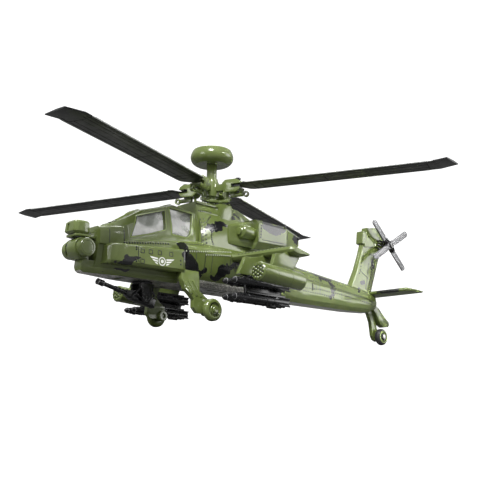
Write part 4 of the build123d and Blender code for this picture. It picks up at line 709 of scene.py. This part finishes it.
# plain slanted stripes either side of a ring
for k in range(3):
    z = 25.0 - 1.05 * k
    flat_patch(white, [(-46.5 + 1.15 * k, z + 0.3), (-42.5, z - 0.1), (-42.5, z - 0.75), (-45.8 + 1.15 * k, z - 0.4)], 12.9)
    flat_patch(white, [(-34.2 - 1.15 * k, z + 0.3), (-38.2, z - 0.1), (-38.2, z - 0.75), (-34.9 - 1.15 * k, z - 0.4)], 12.9)
panel_line(white, [(12.9 + (9.75 + 1.55 * math.cos(t)) * 0.0875, -40.35 + 1.55 * math.cos(t), 23.7 + 1.65 * math.sin(t)) for t in [2 * math.pi * k / 24 for k in range(24)]], 0.5, lift=0.04, step=0.3, closed=True)
flat_patch(white, [(-40.35 + 0.75 * math.cos(t), 23.7 + 0.8 * math.sin(t)) for t in [2 * math.pi * k / 16 for k in range(16)]], 12.9)

# dark slots and seams under the body
for x, y, z, rx, ry in ((3.0, -62.4, 18.0, 0.5, 1.5), (1.4, -52.6, 16.6, 0.9, 2.2), (-2.4, -44.6, 16.5, 0.7, 1.8), (5.4, -33.0, 16.5, 0.8, 3.0), (5.2, -24.0, 16.5, 0.7, 2.4), (6.4, -10.0, 16.5, 0.7, 2.0)):
    for sgn in (1, -1):
        panel_line(lines, [(sgn * x + rx * math.cos(t), y + ry * math.sin(t), z) for t in [2 * math.pi * k / 18 for k in range(18)]], 0.3, step=0.5, closed=True, both=False)
panel_line(lines, [(5.4, -56.0, 16.5), (6.0, -42.0, 16.5), (6.3, -29.0, 16.5)], 0.26)
panel_line(lines, [(7.6, -26.0, 16.5), (7.7, 16.0, 16.5), (7.2, 30.0, 16.5)], 0.26)
for y in (-20.0, 20.0, 34.0):
    panel_line(lines, [(-6.8, y, 16.5), (0, y, 16.5), (6.8, y, 16.5)], 0.22, both=False)

# small black fittings: engine eyes and the rear stub on the cowl
for p in ((15.0, 35.4, 51.2), (13.0, 46.6, 47.4), (1.5, 34.0, 50.0)):
    for q in (p, mirrored(p)):
        s = on_skin(q)
        if s:
            knobs.rivet(s[0], s[1], 0.75, 1.0, 12)

def tube(heap, pts, r, sides=8):
    """A round bead along points in row metres, closed at both ends."""
    m = len(pts)
    if m < 2:
        return
    verts = []
    for i, p in enumerate(pts):
        t = (pts[min(i + 1, m - 1)] - pts[max(i - 1, 0)]).normalized()
        a = t.cross(Vector((0, 0, 1))).normalized()
        b = t.cross(a)
        k = 0.55 if i in (0, m - 1) else 1.0
        verts += [p + (a * math.cos(u) + b * math.sin(u)) * r * k * MM for u in [2 * math.pi * j / sides for j in range(sides)]]
    faces = [[i * sides + j, i * sides + (j + 1) % sides, (i + 1) * sides + (j + 1) % sides, (i + 1) * sides + j] for i in range(m - 1) for j in range(sides)]
    faces += [list(range(sides))[::-1], [(m - 1) * sides + j for j in range(sides)]]
    heap.add(verts, faces)


# ------------------------------------------------------------------ rotor blades: moulded lines, and pale edge beads that are painted highlights
HUBC = (0.0, -0.9, 66.1)
rim = Heap("blade_painted_highlights", "blade_highlight", "main_rotor")
groove = Heap("blade_grooves", "groove", "main_rotor")
for k, az in enumerate((-69.8, 20.2, 110.2, 200.2)):
    tree = surface([f"rotor_blade_{k + 1}"])
    a = math.radians(az)
    er, et = Vector((math.cos(a), math.sin(a), 0)), Vector((-math.sin(a), math.cos(a), 0))
    # a rounded bead runs along both edges of the blade, coloured pale grey as a painted highlight on the edges
    for off, r0, r1 in ((-6.1, 20.5, 107.0), (6.1, 20.5, 104.5)):
        pts = []
        for i in range(61):
            r = r0 + (r1 - r0) * i / 60
            up, down = [tree.ray_cast(P(*(Vector(HUBC) + er * r + et * off + Vector((0, 0, face * 6.0)))), Vector((0, 0, -face)))[0] for face in (1, -1)]
            if up is not None and down is not None:
                pts.append((up + down) * 0.5 + et * math.copysign(0.12, off) * MM)
        tube(rim, pts, 0.36)
    for off, r0, r1, w in ((3.3, 24.0, 106.0, 0.5), (1.2, 27.0, 104.0, 0.3), (-2.4, 24.0, 104.0, 0.45), (-4.8, 24.0, 108.0, 0.42), (4.8, 24.0, 106.0, 0.40)):
        for face in (-1, 1):
            pts, nr = [], []
            n = 60
            for i in range(n + 1):
                r = r0 + (r1 - r0) * i / n
                o = P(*(Vector(HUBC) + er * r + et * off + Vector((0, 0, face * 6.0))))
                hit = tree.ray_cast(o, Vector((0, 0, -face)))
                if hit[0] is not None:
                    pts.append(hit[0])
                    nr.append(hit[1])
            groove.ribbon(pts, nr, w, 0.04)
    for r in (23.0, 27.0, 58.0, 104.0):
        pts, nr = [], []
        for i in range(9):
            o = P(*(Vector(HUBC) + er * r + et * (-5.6 + 11.2 * i / 8) + Vector((0, 0, -6.0))))
            hit = tree.ray_cast(o, Vector((0, 0, 1)))
            if hit[0] is not None:
                pts.append(hit[0])
                nr.append(hit[1])
        groove.ribbon(pts, nr, 0.5, 0.045)


# ------------------------------------------------------------------ turned and moulded small parts
def turned(heap, origin, axis, profile, sides=32):
    """A closed lathe part: profile of (along axis, radius) in mm, both ends on the axis or open rings closed flat."""
    axis = Vector(axis).normalized()
    a = axis.orthogonal().normalized()
    b = axis.cross(a)
    verts = []
    for d, r in profile:
        verts += [origin + axis * d * MM + (a * math.cos(t) + b * math.sin(t)) * r * MM for t in [2 * math.pi * k / sides for k in range(sides)]]
    m = len(profile)
    faces = [[k * sides + i, k * sides + (i + 1) % sides, (k + 1) * sides + (i + 1) % sides, (k + 1) * sides + i] for k in range(m - 1) for i in range(sides)]
    faces.append(list(range(sides))[::-1])
    faces.append([(m - 1) * sides + i for i in range(sides)])
    heap.add(verts, faces)


def hoop(heap, origin, axis, r, w, sides=36, ring=8):
    """A round-section ring."""
    axis = Vector(axis).normalized()
    a = axis.orthogonal().normalized()
    b = axis.cross(a)
    verts = []
    for k in range(sides):
        t = 2 * math.pi * k / sides
        out = a * math.cos(t) + b * math.sin(t)
        for j in range(ring):
            u = 2 * math.pi * j / ring
            verts.append(origin + out * (r + w * math.cos(u)) * MM + axis * w * math.sin(u) * MM)
    faces = [[k * ring + j, ((k + 1) % sides) * ring + j, ((k + 1) % sides) * ring + (j + 1) % ring, k * ring + (j + 1) % ring] for k in range(sides) for j in range(ring)]
    heap.add(verts, faces)


def bar(heap, p0, p1, r0, r1=None, sides=10):
    """A round bar, tapered if asked, between two ship points."""
    a, b = P(*p0), P(*p1)
    d = (b - a).length / MM
    r1 = r0 if r1 is None else r1
    turned(heap, a, b - a, [(0, r0 * 0.8), (0.06 * d, r0), (0.94 * d, r1), (d, r1 * 0.8)], sides)


def plate(heap, corners, thick):
    """A flat plate from its ship corner points, thickened along its normal."""
    pts = [P(*c) for c in corners]
    n = (pts[1] - pts[0]).cross(pts[2] - pts[0]).normalized() * thick * 0.5 * MM
    m = len(pts)
    heap.add([p + n for p in pts] + [p - n for p in pts], [list(range(m)), list(range(2 * m - 1, m - 1, -1))] + [[i, (i + 1) % m, m + (i + 1) % m, m + i] for i in range(m)])


# main wheels: tyre grooves and hub bolts
for body, sgn in (("wheel_left", 1), ("wheel_right", -1)):
    rings = Heap(f"{body}_rings", "green_wheel", body)
    c = P(sgn * 21.32, -16.6, 4.9)
    hoop(rings, c - Vector((sgn * 0.15 * MM, 0, 0)), (1, 0, 0), 3.35, 0.22)
    hoop(rings, c - Vector((sgn * 0.62 * MM, 0, 0)), (1, 0, 0), 2.5, 0.16)
    for k in range(6):
        t = 2 * math.pi * k / 6
        rings.rivet(P(sgn * 20.62, -16.6 + 2.05 * math.cos(t), 4.9 + 2.05 * math.sin(t)), Vector((sgn, 0, 0)), 0.3, 0.28, 8)
    rings.make()

# tail wheel: pale spoked face in a dark tyre
face = Heap("tail_wheel_face", "pale_green", "wheel_tail")
tc = P(3.42, 130.7, 4.7)
hoop(face, tc - Vector((0.12 * MM, 0, 0)), (1, 0, 0), 3.25, 0.30)
hoop(face, tc - Vector((0.30 * MM, 0, 0)), (1, 0, 0), 2.45, 0.22)
for k in range(6):
    t = 2 * math.pi * k / 6
    bar(face, (2.98, 130.7 + 1.2 * math.cos(t), 4.7 + 1.2 * math.sin(t)), (2.98, 130.7 + 2.5 * math.cos(t), 4.7 + 2.5 * math.sin(t)), 0.24)
face.make()

# tail rotor: control spider, links and the ring on the shaft end
spider = Heap("tail_rotor_links", "black", "tail_rotor")
th = (134.05, 58.3)
for ang in (180 - 41.3, -41.3, 30.7, 210.7):
    t = math.radians(ang)
    u = (math.cos(t), math.sin(t))
    v = (-u[1], u[0])
    for s in (0.75, -0.75):
        bar(spider, (8.4, th[0] + 0.6 * u[0] + s * v[0], th[1] + 0.6 * u[1] + s * v[1]), (7.4 if abs(ang) < 60 or ang > 200 else 7.0, th[0] + 5.0 * u[0] + 1.15 * s * v[0], th[1] + 5.0 * u[1] + 1.15 * s * v[1]), 0.34)
    plate(spider, [(6.55, th[0] + 2.0 * u[0] - 1.5 * v[0], th[1] + 2.0 * u[1] - 1.5 * v[1]), (6.55, th[0] + 4.4 * u[0] - 1.5 * v[0], th[1] + 4.4 * u[1] - 1.5 * v[1]),
                   (6.55, th[0] + 4.4 * u[0] + 1.5 * v[0], th[1] + 4.4 * u[1] + 1.5 * v[1]), (6.55, th[0] + 2.0 * u[0] + 1.5 * v[0], th[1] + 2.0 * u[1] + 1.5 * v[1])], 1.5)
turned(spider, P(4.9, *th), (1, 0, 0), [(0, 2.2), (0.4, 2.5), (1.0, 2.5), (1.3, 1.9), (3.9, 1.9), (4.2, 1.5)], 24)
spider.make()
collar = Heap("tail_rotor_collar", "pale_grey", "tail_rotor")
hoop(collar, P(9.22, *th), (1, 0, 0), 1.35, 0.26)
collar.make()
arm = Heap("tail_rotor_arm", "black", "airframe")
bar(arm, (3.6, 127.0, 60.6), (5.2, 132.2, 60.2), 0.45)
bar(arm, (3.6, 126.6, 58.2), (5.2, 132.0, 57.4), 0.45)
bar(arm, (3.4, 127.2, 55.9), (4.8, 132.4, 56.2), 0.4)
arm.make()

# stepped gearbox cover on the fin top and a black bearing plate with bolts behind the rotor
cover = Heap("tail_head_cover", "green_plain", "airframe", smooth=False)
for x0, x1, y0, y1, z0, z1 in ((-2.3, 2.3, 113.9, 119.4, 57.2, 64.6), (-2.0, 2.0, 118.4, 126.0, 62.6, 67.4)):
    c = [P(x, y, z) for x in (x0, x1) for y, z in ((y0, z0), (y1, z0 - 0.8), (y1, z1), (y0 + 0.9, z1))]
    cover.add(c, [[0, 1, 2, 3], [7, 6, 5, 4], [0, 4, 5, 1], [1, 5, 6, 2], [2, 6, 7, 3], [3, 7, 4, 0]])
cover_edges = cover.make().modifiers.new("edges", "BEVEL")
cover_edges.width, cover_edges.segments, cover_edges.limit_method = 0.35 * MM, 3, "ANGLE"
back = Heap("tail_bearing_plate", "black", "airframe")
turned(back, P(3.2, *th), (1, 0, 0), [(0, 2.6), (0.2, 3.0), (0.9, 3.0), (1.1, 2.7)], 28)
for k in range(6):
    t = 2 * math.pi * (k + 0.5) / 6
    back.rivet(P(4.25, th[0] + 2.3 * math.cos(t), th[1] + 2.3 * math.sin(t)), Vector((1, 0, 0)), 0.32, 0.25)
back.make()

# rocket pods: dark plate behind the tube ends, painted shade for the recessed face between the tube domes; bands, rear
# cap ring
for sgn, side in ((1, "left"), (-1, "right")):
    pod = Heap(f"pod_plate_{side}", "joint_and_shade", "airframe")
    d = Vector((0, 0.99845, -0.05574))
    o = P(sgn * 49.0, -18.37, 18.48)
    turned(pod, o - d * 0.06 * MM, d, [(0, 3.45), (0.3, 3.45)], 40)
    pod.make()
    band = Heap(f"pod_bands_{side}", "green_plain", "airframe")
    for q in (0.75, 8.6, 17.4, 25.6):
        hoop(band, o + d * q * MM, d, 3.93, 0.13, 48, 6)
    band.make()

# missiles: collars and seeker rings
for sgn, side in ((1, "left"), (-1, "right")):
    m = Heap(f"missile_rings_{side}", "black", "airframe")
    mg = Heap(f"missile_seekers_{side}", "pale_grey", "airframe")
    for x in (31.75, 37.25):
        for z in (15.9, 9.0):
            for y, r, w in ((-13.0, 1.6, 0.16), (-11.8, 1.6, 0.12), (-2.0, 1.6, 0.14), (2.6, 1.6, 0.14)):
                hoop(m, P(sgn * x, y, z), (0, 1, 0), r, w, 28, 6)
            hoop(mg, P(sgn * x, -20.2, z), (0, 1, 0), 1.3, 0.10, 24, 6)
    m.make()
    mg.make()

# gun: recoil frame, feed chute and struts
g = Heap("gun_frame", "black", "gun_turret")
for sgn in (1, -1):
    bar(g, (sgn * 3.2, -41.8, 14.8), (sgn * 2.9, -45.4, 10.8), 0.42)
    bar(g, (sgn * 2.9, -45.4, 10.8), (sgn * 2.7, -41.2, 8.2), 0.36)
    bar(g, (sgn * 3.2, -38.4, 14.8), (sgn * 3.0, -35.4, 10.4), 0.42)
    bar(g, (sgn * 3.0, -35.4, 10.4), (sgn * 2.9, -38.8, 8.0), 0.36)
hoop(g, P(0, -40.0, 15.6), (0, 0, 1), 4.3, 0.3, 40, 6)
g.make()
# pale grey rings at the muzzle: partly a lighter metal end, partly a painted highlight for the glare on the muzzle
gb = Heap("gun_barrel_rings", "pale_grey", "gun")
gd = Vector((0, -math.cos(math.radians(12.5)), math.sin(math.radians(12.5))))
go = P(0, -40.0, 8.9)
for q in (21.0, 23.5):
    hoop(gb, go + gd * q * MM, gd, 1.3, 0.12, 24, 6)
gb.make()

# nose turrets: lens faces and rims
lens = Heap("sensor_lenses", "lens", "airframe")
ring = Heap("sensor_rims", "green_plain", "airframe")
for sgn in (1, -1):
    hoop(ring, P(sgn * 6.98, -73.0, 26.1), (1, 0, 0), 2.7, 0.18, 36, 6)
    hoop(ring, P(sgn * 3.95, -73.0, 26.1), (1, 0, 0), 4.2, 0.14, 40, 6)
plate(lens, [(-3.0, -77.0, 24.2), (-2.2, -77.0, 24.2), (-2.2, -76.9, 28.0), (-3.0, -76.9, 28.0)], 0.5)
lens.make()
ring.make()

# cockpit: instrument hoods, grips, wipers
cock = Heap("cockpit_fittings", "seat", "airframe")
for y in (-41.6, -24.6):
    for sgn in (1, -1):
        plate(cock, [(sgn * 2.4, y + 2.4, 34.0), (sgn * 2.4, y + 2.4, 41.8), (sgn * 1.2, y + 3.2, 42.4), (sgn * 1.2, y + 3.2, 34.0)], 0.6)
    bar(cock, (0, y - 4.6, 30.0), (0, y - 5.2, 34.0), 0.4)
cock.make()

# pale green rims painted bright as highlights, and dark sealing lines round the four side windows
canopy = surface(["canopy_frame", "canopy_glazing"])
rims = Heap("window_painted_highlights", "edge_highlight", "airframe")
seals = Heap("window_seals", "joint_and_shade", "airframe")
for pane in ([(-52.6, 33.6), (-48.8, 43.0), (-34.2, 48.1), (-35.0, 39.4), (-43.5, 36.2)], [(-30.6, 50.0), (-18.4, 49.2), (-20.8, 39.8), (-22.6, 37.9), (-30.6, 38.2)]):
    cy, cz = sum(q[0] for q in pane) / len(pane), sum(q[1] for q in pane) / len(pane)
    for heap, grow, width, lift in ((rims, 1.09, 0.5, 0.14), (seals, 1.035, 0.3, 0.08)):
        ring_pts = [(0, cy + (y - cy) * grow, cz + (z - cz) * grow) for y, z in pane]
        for sgn in (1, -1):
            pts, nr = [], []
            for q in resample(ring_pts + [ring_pts[0]], 0.7):
                hit = canopy.ray_cast(P(sgn * 16.0, q[1], q[2]), Vector((-sgn, 0, 0)))
                if hit[0] is not None and sgn * hit[0].x > 2.5 * MM:
                    pts.append(hit[0])
                    nr.append(hit[1])
            if len(pts) > 6:
                heap.ribbon(pts, nr, width, lift, closed=True)
rims.make()
seals.make()
wiper = Heap("wipers", "black", "airframe")
tree = surface(["canopy_frame", "canopy_glazing"])
panel_line(wiper, [(2.2, -60.4, 38.9), (3.2, -57.4, 41.0)], 0.3, lift=0.25, both=False, tree=tree)
wiper.make()

for h in (rivet_shade, rivet_glints, lines, raised, white, knobs, rim, groove):
    h.make()
